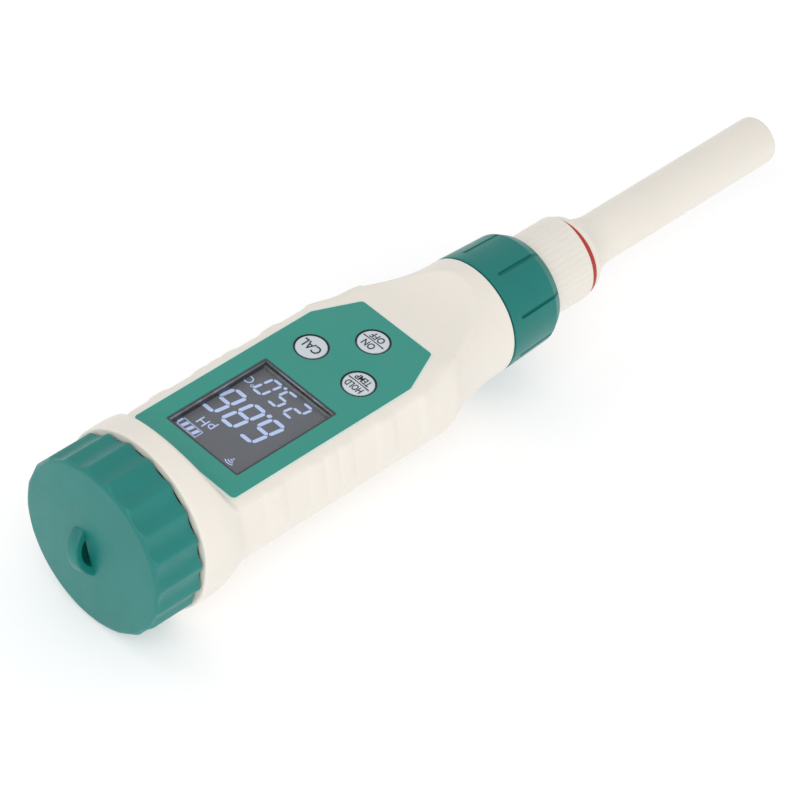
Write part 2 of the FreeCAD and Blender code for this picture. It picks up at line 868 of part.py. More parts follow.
def make_socket():
    """Socket in the nose that the electrode's pins plug into, with its round board and ribbon."""
    block_blank = rod("socket_blank", "socket_radius", "socket_front_y", "socket_rear_y")
    holes = []
    tails = []
    for index, (x, z) in enumerate(around("pin_ring_radius", DIMS["pin_count"])):
        holes.append(rod("socket_hole_%d" % index, "pin_hole_radius", "socket_front_y - overcut",
                         "socket_hole_y", x, z))
        tails.append(rod("socket_tail_%d" % index, "tail_radius", "socket_board_rear_y",
                         "tail_rear_y", x, z))
    return [
        cut("socket_block", block_blank, *holes),
        rod("socket_board", "socket_radius", "socket_rear_y", "socket_board_rear_y"),
        group("socket_tails", *tails),
        wide_block("link_ribbon", "ribbon_half_width", "socket_board_rear_y", "board_front_y + ribbon_lap",
                   "board_top - board_thickness - ribbon_thickness", "board_top - board_thickness"),
    ]


# ---------------------------------------------------------------- battery cap

def make_cap():
    """Screw cap with soft flutes around it and a lanyard eye on its end face."""
    body = turned("battery_cap", [
        ("cap_bore_radius", "cap_rim_y"),
        ("cap_radius", "cap_rim_y"),
        ("cap_radius", "cap_face_y - cap_round"),
        ("cap_radius - cap_round", "cap_face_y", "cap_round", 1),
        ("0", "cap_face_y"),
        ("0", "cap_floor_y"),
        ("cap_bore_radius", "cap_floor_y"),
    ])
    flute = new_sketch(body, "XZ_Plane", level="overcut - cap_rim_y")
    centre = Vector(0, number("flute_offset"), 0)
    circle = flute.addGeometry(Part.Circle(centre, Vector(0, 0, 1), number("flute_radius")), False)
    hold(flute, circle, 3, ("0", "flute_offset"))
    size = flute.addConstraint(Sketcher.Constraint("Radius", circle, number("flute_radius")))
    bind(flute, "Constraints[%d]" % size, "flute_radius")
    pocket_ring(body, flute, "cap_face_y - cap_rim_y + 2*overcut", "flute_count")
    loop = add_pad(body, "XY_Plane", [
        ("-loop_half_span", "cap_face_y - loop_root"),
        ("loop_half_span", "cap_face_y - loop_root", "loop_arc", -1),
        ("loop_hole_half_span", "cap_face_y - loop_root"),
        ("-loop_hole_half_span", "cap_face_y - loop_root", "loop_hole_arc", 1),
    ], "loop_width", level="loop_height", both_ways=True, turn="loop_turn")
    bind(loop.Profile[0], ".AttachmentOffset.Base.x", "loop_x")
    doc.recompute()
    return body


def make_cap_fittings():
    seal = turned("cap_seal", [
        ("seal_inner_radius", "shoulder_rear_y"),
        ("seal_outer_radius", "shoulder_rear_y"),
        ("seal_outer_radius", "cap_rim_y"),
        ("seal_inner_radius", "cap_rim_y"),
    ])
    plate = turned("cap_contact_plate", [
        ("0", "cap_floor_y - plate_thickness"),
        ("ridge_inner_radius", "cap_floor_y - plate_thickness"),
        ("ridge_inner_radius", "ridge_y"),
        ("ridge_outer_radius", "ridge_y"),
        ("ridge_outer_radius", "cap_floor_y - plate_thickness"),
        ("plate_radius", "cap_floor_y - plate_thickness"),
        ("plate_radius", "cap_floor_y"),
        ("0", "cap_floor_y"),
    ])
    return [seal, plate]


# ---------------------------------------------------------------- ring nut and electrode

def make_ring(label, inner, outer, front, rear):
    return turned(label, [(inner, front), (outer, front), (outer, rear), (inner, rear)])


def radial_slot(body, half_width, low, high, station):
    """Sketch of a narrow slot above the axis, on the plane across the pen at a station."""
    sketch = new_sketch(body, "XZ_Plane", level=minus("0", station))
    outline(sketch, mirrored([(half_width, low), (half_width, high)]))
    return sketch


def make_nut():
    """Union nut that clamps the electrode module, with narrow grip grooves."""
    body = turned("ring_nut", [
        ("nut_lip_radius", "nut_front_y"),
        ("nut_tip_radius", "nut_front_y"),
        ("nut_front_radius", "nut_chamfer_y"),
        ("nut_radius", "nut_rear_y"),
        ("nut_bore_radius", "nut_rear_y"),
        ("nut_bore_radius", "nut_lip_y"),
        ("nut_lip_radius", "nut_lip_y"),
    ])
    slot = radial_slot(body, "0.5*nut_groove_width", "nut_groove_radius", "nut_radius + overcut",
                       "nut_front_y - overcut")
    pocket_ring(body, slot, "nut_groove_rear_y - nut_front_y + overcut", "nut_groove_count")
    spin = Rotation(Vector(0, 1, 0), number("nut_groove_turn"))
    return place(body, turn=spin)


def make_electrode_body():
    """Plug, flange, ribbed collar and spigot of the replaceable electrode."""
    body = turned("electrode_body", [
        ("stem_tube_radius", "spigot_front_y"),
        ("spigot_radius", "spigot_front_y"),
        ("spigot_radius", "collar_front_y"),
        ("collar_tip_radius", "collar_front_y"),
        ("collar_radius", "collar_edge_y"),
        ("collar_radius", "flange_front_y"),
        ("flange_radius", "flange_front_y"),
        ("flange_radius", "flange_rear_y"),
        ("plug_radius", "flange_rear_y"),
        ("plug_radius", "plug_groove_front_y"),
        ("plug_groove_radius", "plug_groove_front_y"),
        ("plug_groove_radius", "plug_groove_rear_y"),
        ("plug_radius", "plug_groove_rear_y"),
        ("plug_radius", "plug_end_y"),
        ("0", "plug_end_y"),
        ("0", "stem_tube_rear_y"),
        ("stem_tube_radius", "stem_tube_rear_y"),
    ])
    slot = radial_slot(body, "0.5*rib_gap_width", "rib_gap_radius", "collar_radius + overcut",
                       "collar_edge_y")
    pocket_ring(body, slot, "rib_rear_y - collar_edge_y", "rib_count")
    return body


def make_electrode_parts():
    stem = make_ring("electrode_stem", "stem_tube_bore", "stem_tube_radius", "stem_tube_front_y",
                     "stem_tube_rear_y")
    glass = turned("glass_bulb", [
        ("0", "bulb_tip_y"),
        ("bulb_radius", "bulb_tip_y + bulb_radius", "bulb_radius", 1),
        ("bulb_radius", "glass_rear_y"),
        ("bulb_radius - bulb_wall", "glass_rear_y"),
        ("bulb_radius - bulb_wall", "bulb_tip_y + bulb_radius"),
        ("0", "bulb_tip_y + bulb_wall", "bulb_radius - bulb_wall", -1),
    ])
    pins = [
        rod("plug_pin_%d" % index, "pin_radius", "plug_end_y", "pin_rear_y", x, z)
        for index, (x, z) in enumerate(around("pin_ring_radius", DIMS["pin_count"]))
    ]
    seal = doc.addObject("Part::Torus", "plug_seal")
    seal.Label = "plug_seal"
    bind(seal, "Radius1", "plug_seal_radius")
    bind(seal, "Radius2", "plug_seal_section")
    place(seal, "0", "0.5*plug_groove_front_y + 0.5*plug_groove_rear_y", turn=ALONG_Y)
    return [
        stem,
        glass,
        make_ring("reference_junction", "junction_inner_radius", "stem_tube_bore",
                  "stem_tube_front_y", "stem_tube_front_y + junction_length"),
        rod("silver_wire", "wire_radius", "wire_front_y", "stem_tube_rear_y"),
        rod("temperature_sensor", "thermistor_radius", "thermistor_front_y", "stem_tube_front_y",
            "thermistor_x"),
        group("plug_pins", *pins),
        seal,
        make_ring("nose_gasket", "nose_gasket_inner_radius", "nose_gasket_outer_radius",
                  "flange_rear_y", "front_neck_y"),
        make_ring("nut_washer", "nut_lip_radius", "washer_radius", "nut_lip_y", "flange_front_y"),
        make_ring("probe_seal_ring", "red_seal_inner_radius", "red_seal_radius", "sleeve_base_y",
                  "collar_front_y"),
    ]


def make_probe_cap():
    """Storage sleeve over the electrode: flared mouth, long tube, closed rounded end."""
    return turned("probe_cap", [
        ("0", "sleeve_tip_y"),
        ("sleeve_radius - sleeve_round", "sleeve_tip_y"),
        ("sleeve_radius", "sleeve_tip_y + sleeve_round", "sleeve_round", 1),
        ("sleeve_radius", "sleeve_waist_y"),
        ("sleeve_flare_radius", "sleeve_flare_y", "sleeve_arc", -1),
        ("sleeve_base_radius", "sleeve_base_y - sleeve_band"),
        ("sleeve_base_radius", "sleeve_base_y"),
        ("sleeve_mouth_radius", "sleeve_base_y"),
        ("sleeve_mouth_radius", "sleeve_mouth_y"),
        ("sleeve_bore_radius", "sleeve_mouth_y"),
        ("sleeve_bore_radius", "sleeve_floor_y"),
        ("0", "sleeve_floor_y"),
    ])


# ---------------------------------------------------------------- build, test and write

def make_all():
    pieces = [make_housing(), make_overlay(), make_window(), make_gasket()]
    for name, (x, y) in KEYS.items():
        pieces.append(make_key(name, x, y))
        pieces.append(post("stem_" + name, "stem_radius", "stem_bottom", "stem_top", x, y))
        pieces.append(make_switch(name, x, y))
    pieces += make_display() + make_boards()
    pieces += [make_holder()] + make_cells() + make_contacts() + make_socket()
    pieces += [make_cap()] + make_cap_fittings()
    pieces += [make_nut(), make_electrode_body()] + make_electrode_parts()
    sponge = rod("cap_sponge", "sponge_radius", "sleeve_floor_y", "sponge_rear_y")
    return pieces + [make_probe_cap(), sponge]


def write(pieces):
    """Stop on any failed object or bad shape, then write one STEP file per piece."""
    doc.recompute()
    failed = [item.Label for item in doc.Objects if {"Invalid", "Error"} & set(item.State)]
    bad = [piece.Label for piece in pieces if piece.Shape.isNull() or not piece.Shape.isValid()]
    if failed or bad:
        raise ValueError("failed objects %s, bad shapes %s" % (failed, bad))
    os.makedirs("parts", exist_ok=True)
    for piece in pieces:
        piece.Shape.exportStep("parts/%s.step" % piece.Label)
        print("%-20s %9.1f mm3 %3d solids" % (piece.Label, piece.Shape.Volume, len(piece.Shape.Solids)))


write(make_all())
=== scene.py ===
import math

import bmesh
import bpy
import numpy as np
from mathutils import Matrix, Vector


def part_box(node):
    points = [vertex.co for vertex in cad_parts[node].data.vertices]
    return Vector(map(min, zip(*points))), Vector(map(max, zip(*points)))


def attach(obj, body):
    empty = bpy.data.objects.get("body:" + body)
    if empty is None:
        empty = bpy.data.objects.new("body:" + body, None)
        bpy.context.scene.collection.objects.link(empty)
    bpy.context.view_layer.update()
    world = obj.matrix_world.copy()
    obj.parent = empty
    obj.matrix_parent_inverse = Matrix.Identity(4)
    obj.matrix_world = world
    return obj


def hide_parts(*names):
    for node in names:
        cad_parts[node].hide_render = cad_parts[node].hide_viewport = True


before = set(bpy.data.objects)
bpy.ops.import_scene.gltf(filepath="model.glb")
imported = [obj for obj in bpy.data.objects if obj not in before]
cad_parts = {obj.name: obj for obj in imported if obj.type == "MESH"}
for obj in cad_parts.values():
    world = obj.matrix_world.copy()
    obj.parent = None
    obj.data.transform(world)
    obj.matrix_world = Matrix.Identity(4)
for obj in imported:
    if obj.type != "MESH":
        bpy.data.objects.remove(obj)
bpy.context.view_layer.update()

# A pen-shaped pH meter lying on its back. Every length of the pen is in millimetres, and every
# height is measured from the pen's long axis, until a mesh is made: place() turns both into
# the frame's metres. Y runs along the pen towards the battery cap.

MM = 0.001
AXIS = sum(corner.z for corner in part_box("ring_nut")) / 2 / MM


def span(node):
    """Lowest and highest corner of a CAD node, in millimetres from the pen's axis."""
    drop = Vector((0, 0, AXIS))
    low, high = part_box(node)
    return low / MM - drop, high / MM - drop


def place(x, y, height):
    """A point given from the pen's axis, in the frame's metres."""
    return (x * MM, y * MM, (height + AXIS) * MM)


# ---------------------------------------------------------------- sizes

OVERLAY_LOW, OVERLAY_HIGH = span("front_overlay")
WINDOW_LOW, WINDOW_HIGH = span("window_lens")
LCD_TOP = span("lcd_glass")[1].z
CAP_LOW, CAP_HIGH = span("battery_cap")
NUT_LOW, NUT_HIGH = span("ring_nut")
RED_LOW, RED_HIGH = span("probe_seal_ring")
SLEEVE_LOW, SLEEVE_HIGH = span("probe_cap")
CAVITY_REAR_Y = span("housing")[1].y + 1

FACE = OVERLAY_HIGH.z

# Turned body: nose, barrel and flared shoulder, with a thread neck at each end
BARREL = 17.0
BARREL_REAR_Y = 66.0
SHOULDER = 19.4
SHOULDER_REAR_Y = 81.8
SHOULDER_FRONT_Y = 77.0
SHOULDER_EDGE = 0.5
NOSE = 12.93
NOSE_TANGENT_Y = -7.0
NOSE_END_Y = -8.0
NOSE_ARC = 48.0
NOSE_EDGE = 0.35
NOSE_BLEND = 0.4
REAR_NECK = 16.0
REAR_NECK_Y = 89.5
FRONT_NECK = 11.3
FRONT_NECK_Y = -17.5
NECK_EDGE = 0.5
THREAD_RISE = 0.24
THREAD_ROOT = 0.25

# Display face: flat, with a scoop onto the nose and a ramp up to the shoulder
FACE_REAR_Y = 71.3
RAMP_LENGTH = 5.0
RAMP_RISE = 9.6
RAMP_POWER = 1.35
SCOOP_Y = 12.0
SCOOP = 0.00081

# Upright sides: they come out of the nose, lean a little rearwards and flare into the shoulder
CHEEK = 16.95
CHEEK_TIP = 13.4
CHEEK_TIP_Y = 10.5
CHEEK_BEND_Y = 24.0
CHEEK_LEAN = 0.22
CHEEK_LEAN_HEIGHT = 3
FLARE_Y = 69.0
FLARE_LENGTH = 6.5
SQUARE_FADE = (68.5, 73.5)

# Finger recesses and grooves in the sides, from the middle of the grip
GRIP_DEPTH = 0.45
GRIP_MIDDLE_Y = 46.6
GRIP_RUN = 2.2
RECESSES = ((20.7, 3.85), (9.0, 3.65))
GROOVES = (-1.85, 1.9)
GROOVE_RUN = 1.2
GROOVE_SHARE = 0.55

# Softness of each join, as (from station, to station, first width, last width)
BARREL_TO_SIDE = (20, 27, 1.4, 0.3)
SIDE_TO_FLARE = (66, 71, 0.3, 1.1)
SIDE_TO_FACE = (8, 20, 0.4, 3.8)

# Hollow inside the housing
BORE = 9.0
CAVITY_RADIUS = 14.8
CAVITY_TOP = 7.99
CAVITY_FRONT_Y = 16.0

OVERLAY_BEND_Y = 23.92
OVERLAY_BEND = 2.5
OVERLAY_TIP_HALF = 9.82
OVERLAY_CORNER = 0.9
OVERLAY_LINE = 0.09
# Reach of the pale band, a painted edge highlight, either side of the film's outline
OVERLAY_HIGHLIGHT_REACH = 0.1
WINDOW_GAP = 0.03
WINDOW_SURROUND = 0.42
BEVEL_STRIP_RISE = 0.75
KEYS = ("cal", "on_off", "hold_temp")
KEY_RADIUS = 3.3
KEY_RING = 0.32
KEY_DOME = ((0.0, 0.0), (1.4, 0.02), (2.4, 0.07), (2.95, 0.14), (3.15, 0.22), (3.26, 0.36), (KEY_RADIUS, 0.6),
            (KEY_RADIUS, 1.7))

FLUTES = 20
FLUTE_DEPTH = 0.85
FLUTE_POWER = 0.7
FLUTE_RUN = 1.3
CAP_ROUND = 1.4
CAP_CROWN = 0.25
CAP_WALL_RADIUS = 16.3
CAP_FACE_Y = 93.5
CAP_FLOOR_Y = 91.0
LOOP_TURN = math.radians(-68.5)
LOOP_X = 1.5
LOOP_HEIGHT = -1.8
LOOP_ROOT = 0.4
LOOP_HALF_SPAN = 5.35
LOOP_HALF_WIDTH = 1.5
LOOP_HOLE_HALF_SPAN = 3.1
LOOP_HOLE_RISE = 1.8
LOOP_POCKET_Y = 91.9
LOOP_POCKET_HALF_WIDTH = 1.3

NUT_GROOVES = 8
NUT_GROOVE_TURN = math.radians(106.5)
NUT_CHAMFER_Y = -20.8
NUT_FRONT = 12.4
NUT_TIP = 11.1
NUT_BORE = 11.6
NUT_LIP = 9.55
NUT_LIP_Y = -20.1
GROOVE_REAR_Y = -10.9
GROOVE_HALF = 0.42
GROOVE_DEPTH = 0.55

COLLAR = 9.23
COLLAR_TIP = 9.0
COLLAR_BORE = 8.4
COLLAR_EDGE_Y = -35.05
COLLAR_FRONT_Y = -35.3
COLLAR_LEAN = 1.15
COLLAR_LEAN_TURN = math.radians(52.6)
COLLAR_LEAN_POWER = 5
RIBS = 42
RIB_DEPTH = 0.08
SEAL_BORE = 5.5

TUBE = 5.4
TUBE_BORE = 4.5
TUBE_END_WALL = 2
TUBE_ARC = 14.0
TUBE_ARC_Y = -46.2
SKIRT_Y = -40.4
SKIRT_BAND = 1.3
MOUTH = 5.5
MOUTH_Y = -41.5

# Studio, in the frame's metres
FLOOR_GAP = 0.03 * MM
CAMERA_PLACE = (-0.35988, 0.43682, 0.54605)
CAMERA_RIGHT = (-0.6988, -0.7090, 0.0948)
CAMERA_UP = (0.5449, -0.4417, 0.7127)
CAMERA_LENS = 173.1


def srgb(red, green, blue):
    """Screen colour, 0 to 255, as linear light."""
    parts = [value / 255 for value in (red, green, blue)]
    return tuple(v / 12.92 if v <= 0.04045 else ((v + 0.055) / 1.055) ** 2.4 for v in parts) + (1.0,)


def smooth_min(a, b, width):
    """Smaller of two values, rounded over the width where they meet."""
    share = np.clip(0.5 + 0.5 * (b - a) / width, 0, 1)
    return b * (1 - share) + a * share - width * share * (1 - share)


def smooth_max(a, b, width):
    """Larger of two values, rounded over the width where they meet."""
    return -smooth_min(-a, -b, width)


def smooth_step(value, start, end):
    """Share from 0 at start to 1 at end, soft at both ends."""
    t = np.clip((value - start) / (end - start), 0, 1)
    return t * t * (3 - 2 * t)


def eased(y, start, end, first, last):
    """Value that changes smoothly from first to last between two stations."""
    return first + (last - first) * smooth_step(y, start, end)


# ---------------------------------------------------------------- mesh tools

def rounded(corners, steps=6):
    """The corner list with each (u, v, radius) corner replaced by an arc."""
    points = []
    for index, corner in enumerate(corners):
        here = Vector(corner[:2])
        if len(corner) == 2:
            points.append(tuple(here))
            continue
        before = (Vector(corners[index - 1][:2]) - here).normalized()
        after = (Vector(corners[(index + 1) % len(corners)][:2]) - here).normalized()
        half = before.angle(after) / 2
        centre = here + (before + after).normalized() * corner[2] / math.sin(half)
        start = here + before * corner[2] / math.tan(half) - centre
        end = here + after * corner[2] / math.tan(half) - centre
        turn = math.atan2(start.x * end.y - start.y * end.x, start.dot(end))
        for step in range(steps + 1):
            points.append(tuple(centre + Matrix.Rotation(turn * step / steps, 2) @ start))
    return points


def circle(x, y, radius, count=72):
    """Points round a circle."""
    turns = [2 * math.pi * step / count for step in range(count)]
    return [(x + radius * math.cos(turn), y + radius * math.sin(turn)) for turn in turns]


def piece_of(name, mesh):
    """New object in the scene for a mesh or a camera."""
    piece = bpy.data.objects.new(name, mesh)
    bpy.context.scene.collection.objects.link(piece)
    return piece


def tidy_mesh(mesh, merge=1e-7):
    """Merges doubled points and makes the face normals agree."""
    work = bmesh.new()
    work.from_mesh(mesh)
    bmesh.ops.remove_doubles(work, verts=work.verts, dist=merge)
    bmesh.ops.recalc_face_normals(work, faces=work.faces)
    work.to_mesh(mesh)
    work.free()


def mesh_piece(name, points, faces):
    """New object from points in millimetres and their faces."""
    mesh = bpy.data.meshes.new(name)
    mesh.from_pydata([place(*point) for point in points], [], faces)
    tidy_mesh(mesh)
    return piece_of(name, mesh)


def skin(name, rings, closed):
    """Quads between neighbouring rings of the same number of points."""
    count = len(rings[0])
    points = [point for ring in rings for point in ring]
    faces = []
    for row in range(len(rings) if closed else len(rings) - 1):
        this, following = row * count, (row + 1) % len(rings) * count
        for column in range(count):
            beside = (column + 1) % count
            faces.append((this + column, this + beside, following + beside, following + column))
    return mesh_piece(name, points, faces)


def capped_skin(name, rings):
    """A closed skin over rings, with a flat face over each end ring."""
    piece = skin(name, rings, closed=False)
    work = bmesh.new()
    work.from_mesh(piece.data)
    bmesh.ops.holes_fill(work, edges=[edge for edge in work.edges if edge.is_boundary], sides=0)
    bmesh.ops.recalc_face_normals(work, faces=work.faces)
    work.to_mesh(piece.data)
    work.free()
    return piece


def lathe(name, outline, segments=160, shape=None):
    """Outline of (radius, station) points turned about the pen's axis."""
    closed = min(outline[0][0], outline[-1][0]) > 0
    turns = np.linspace(0, 2 * np.pi, segments, endpoint=False)
    rings = []
    for radius, station in outline:
        radii = shape(radius, station, turns) if shape else np.full(segments, radius)
        rings.append([(r * math.cos(t), station, r * math.sin(t)) for r, t in zip(radii, turns)])
    return skin(name, rings, closed)


def flat_piece(name, outlines, low, high, bevel=0.0):
    """Plate between two heights. The first outline is its edge, and the others are holes in it."""
    curve = bpy.data.curves.new(name, "CURVE")
    curve.dimensions = "2D"
    curve.fill_mode = "BOTH"
    curve.extrude = ((high - low) / 2 - bevel) * MM
    curve.bevel_depth = bevel * MM
    curve.bevel_resolution = 2
    curve.offset = -bevel * MM
    for outline in outlines:
        spline = curve.splines.new("POLY")
        spline.points.add(len(outline) - 1)
        for point, (x, y) in zip(spline.points, outline):
            point.co = (x * MM, y * MM, 0, 1)
        spline.use_cyclic_u = True
    return solid_from(name, curve, (0, 0, (low + high) / 2))


def solid_from(name, curve, centre):
    """Mesh piece made from a filled curve or a text, moved to a centre."""
    draft = piece_of(name + "_draft", curve)
    bpy.context.view_layer.update()
    mesh = bpy.data.meshes.new_from_object(draft.evaluated_get(bpy.context.evaluated_depsgraph_get()))
    bpy.data.objects.remove(draft)
    bpy.data.curves.remove(curve)
    mesh.name = name
    mesh.transform(Matrix.Translation(place(*centre)))
    mesh.materials.clear()
    tidy_mesh(mesh)
    return piece_of(name, mesh)


def carve(piece, tools):
    """Cuts each tool out of the piece and removes the tools."""
    for tool in tools:
        step = piece.modifiers.new("carve", "BOOLEAN")
        step.operation = "DIFFERENCE"
        step.solver = "MANIFOLD"
        step.object = tool
    bpy.context.view_layer.update()
    mesh = bpy.data.meshes.new_from_object(piece.evaluated_get(bpy.context.evaluated_depsgraph_get()))
    piece.modifiers.clear()
    piece.data = mesh
    for tool in tools:
        bpy.data.objects.remove(tool)
    return piece


def finish_piece(piece, finish, body, replaced=(), sharp=32):
    """Smooth shading with real corners kept, a material, and the body it moves with."""
    piece.data.materials.clear()
    piece.data.materials.append(finish)
    piece.data.shade_smooth()
    piece.data.set_sharp_from_angle(angle=math.radians(sharp))
    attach(piece, body)
    if replaced:
        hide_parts(*replaced)
    return piece


# ---------------------------------------------------------------- materials

def shader(name):
    """New material, with its nodes, its links and its main surface."""
    finish = bpy.data.materials.new(name)
    finish.use_nodes = True
    return finish, finish.node_tree.nodes, finish.node_tree.links, finish.node_tree.nodes["Principled BSDF"]


def noise(nodes, links, scale, detail=3.0, stretch=(1, 1, 1)):
    """Noise in the object's own metres; stretch squeezes it along an axis."""
    spots = nodes.new("ShaderNodeTexCoord")
    mapping = nodes.new("ShaderNodeMapping")
    mapping.inputs["Scale"].default_value = stretch
    texture = nodes.new("ShaderNodeTexNoise")
    texture.inputs["Scale"].default_value = scale
    texture.inputs["Detail"].default_value = detail
    links.new(spots.outputs["Object"], mapping.inputs["Vector"])
    links.new(mapping.outputs["Vector"], texture.inputs["Vector"])
    return texture


def tinted(nodes, links, target, texture, dark, light, start=0.35, end=0.65):
    """Colour that wanders between two tints."""
    ramp = nodes.new("ShaderNodeValToRGB")
    ramp.color_ramp.elements[0].position = start
    ramp.color_ramp.elements[0].color = dark
    ramp.color_ramp.elements[1].position = end
    ramp.color_ramp.elements[1].color = light
    links.new(texture.outputs["Fac"], ramp.inputs["Fac"])
    links.new(ramp.outputs["Color"], target)


def ranged(nodes, links, target, texture, low, high):
    """Number that wanders between two values."""
    spread = nodes.new("ShaderNodeMapRange")
    spread.inputs["From Min"].default_value = 0.3
    spread.inputs["From Max"].default_value = 0.7
    spread.inputs["To Min"].default_value = low
    spread.inputs["To Max"].default_value = high
    links.new(texture.outputs["Fac"], spread.inputs["Value"])
    links.new(spread.outputs["Result"], target)


def bumped(nodes, links, target, texture, depth):
    """Fine relief from a texture."""
    bump = nodes.new("ShaderNodeBump")
    bump.inputs["Distance"].default_value = depth * MM
    links.new(texture.outputs["Fac"], bump.inputs["Height"])
    links.new(bump.outputs["Normal"], target)


def moulded(name, colour, roughness=0.4, spread=0.05, shade=0.94, grain=3500, depth=0.006, coat=0.0,
            specular=0.45, stretch=(1, 1, 1), scatter=0.0):
    """Moulded or coated surface: cloudy tint, uneven gloss and a fine tool grain."""
    finish, nodes, links, surface = shader(name)
    dark = tuple(value * shade for value in colour[:3]) + (1.0,)
    tinted(nodes, links, surface.inputs["Base Color"], noise(nodes, links, 90, stretch=stretch), dark, colour)
    ranged(nodes, links, surface.inputs["Roughness"], noise(nodes, links, 260, stretch=stretch),
           roughness - spread, roughness + spread)
    bumped(nodes, links, surface.inputs["Normal"], noise(nodes, links, grain, 2.0, stretch), depth)
    surface.inputs["Specular IOR Level"].default_value = specular
    surface.inputs["Coat Weight"].default_value = coat
    surface.inputs["Coat Roughness"].default_value = 0.15
    if scatter:
        surface.inputs["Subsurface Weight"].default_value = scatter
        surface.inputs["Subsurface Radius"].default_value = (1.0, 0.75, 0.5)
        surface.inputs["Subsurface Scale"].default_value = 0.8 * MM
    return finish


def metal(name, colour, roughness=0.25, stretch=(1, 12, 1)):
    """Drawn or plated metal with fine lines across its length."""
    finish, nodes, links, surface = shader(name)
    dark = tuple(value * 0.82 for value in colour[:3]) + (1.0,)
    lines = noise(nodes, links, 500, 4.0, stretch)
    tinted(nodes, links, surface.inputs["Base Color"], lines, dark, colour)
    ranged(nodes, links, surface.inputs["Roughness"], lines, roughness - 0.07, roughness + 0.1)
    bumped(nodes, links, surface.inputs["Normal"], lines, 0.004)
    surface.inputs["Metallic"].default_value = 1.0
    return finish


def clear(name, tint, roughness=0.05):
    """Thin clear pane: see-through face on, mirror-like at a low angle."""
    finish, nodes, links, surface = shader(name)
    nodes.remove(surface)
    through = nodes.new("ShaderNodeBsdfTransparent")
    gloss = nodes.new("ShaderNodeBsdfGlossy")
    rim = nodes.new("ShaderNodeFresnel")
    blend = nodes.new("ShaderNodeMixShader")
    through.inputs["Color"].default_value = tint
    rim.inputs["IOR"].default_value = 1.2
    ranged(nodes, links, gloss.inputs["Roughness"], noise(nodes, links, 300),
           roughness * 0.95, roughness * 1.05)
    links.new(rim.outputs["Fac"], blend.inputs["Fac"])
    links.new(through.outputs["BSDF"], blend.inputs[1])
    links.new(gloss.outputs["BSDF"], blend.inputs[2])
    links.new(blend.outputs["Shader"], nodes["Material Output"].inputs["Surface"])
    return finish


def lit(name, colour, glow):
    """Display segments: bright plain colour with a light of its own."""
    finish, nodes, links, surface = shader(name)
    tinted(nodes, links, surface.inputs["Base Color"], noise(nodes, links, 700), colour, colour)
    return glowing(finish, colour, glow)


def pitted_with_painted_shade(name, colour, pit_shade, scale, roughness=0.8, depth=0.08):
    """Open-pored sponge or fired ceramic: cells of two tints with deep pits, the darker tint painted shade at
    the bottom of each pit.
    """
    finish, nodes, links, surface = shader(name)
    spots = nodes.new("ShaderNodeTexCoord")
    cells = nodes.new("ShaderNodeTexVoronoi")
    cells.inputs["Scale"].default_value = scale
    links.new(spots.outputs["Object"], cells.inputs["Vector"])
    # Darker tint where the bump is lowest: painted shade in the pores
    ramp = nodes.new("ShaderNodeValToRGB")
    ramp.color_ramp.elements[0].color = pit_shade
    ramp.color_ramp.elements[1].color = colour
    ramp.color_ramp.elements[1].position = 0.5
    links.new(cells.outputs["Distance"], ramp.inputs["Fac"])
    links.new(ramp.outputs["Color"], surface.inputs["Base Color"])
    bump = nodes.new("ShaderNodeBump")
    bump.inputs["Distance"].default_value = depth * MM
    links.new(cells.outputs["Distance"], bump.inputs["Height"])
    links.new(bump.outputs["Normal"], surface.inputs["Normal"])
    surface.inputs["Roughness"].default_value = roughness
    return finish


def glowing(finish, colour, strength):
    """Gives a finish an even light of its own."""
    surface = finish.node_tree.nodes["Principled BSDF"]
    surface.inputs["Emission Color"].default_value = colour
    surface.inputs["Emission Strength"].default_value = strength
    return finish


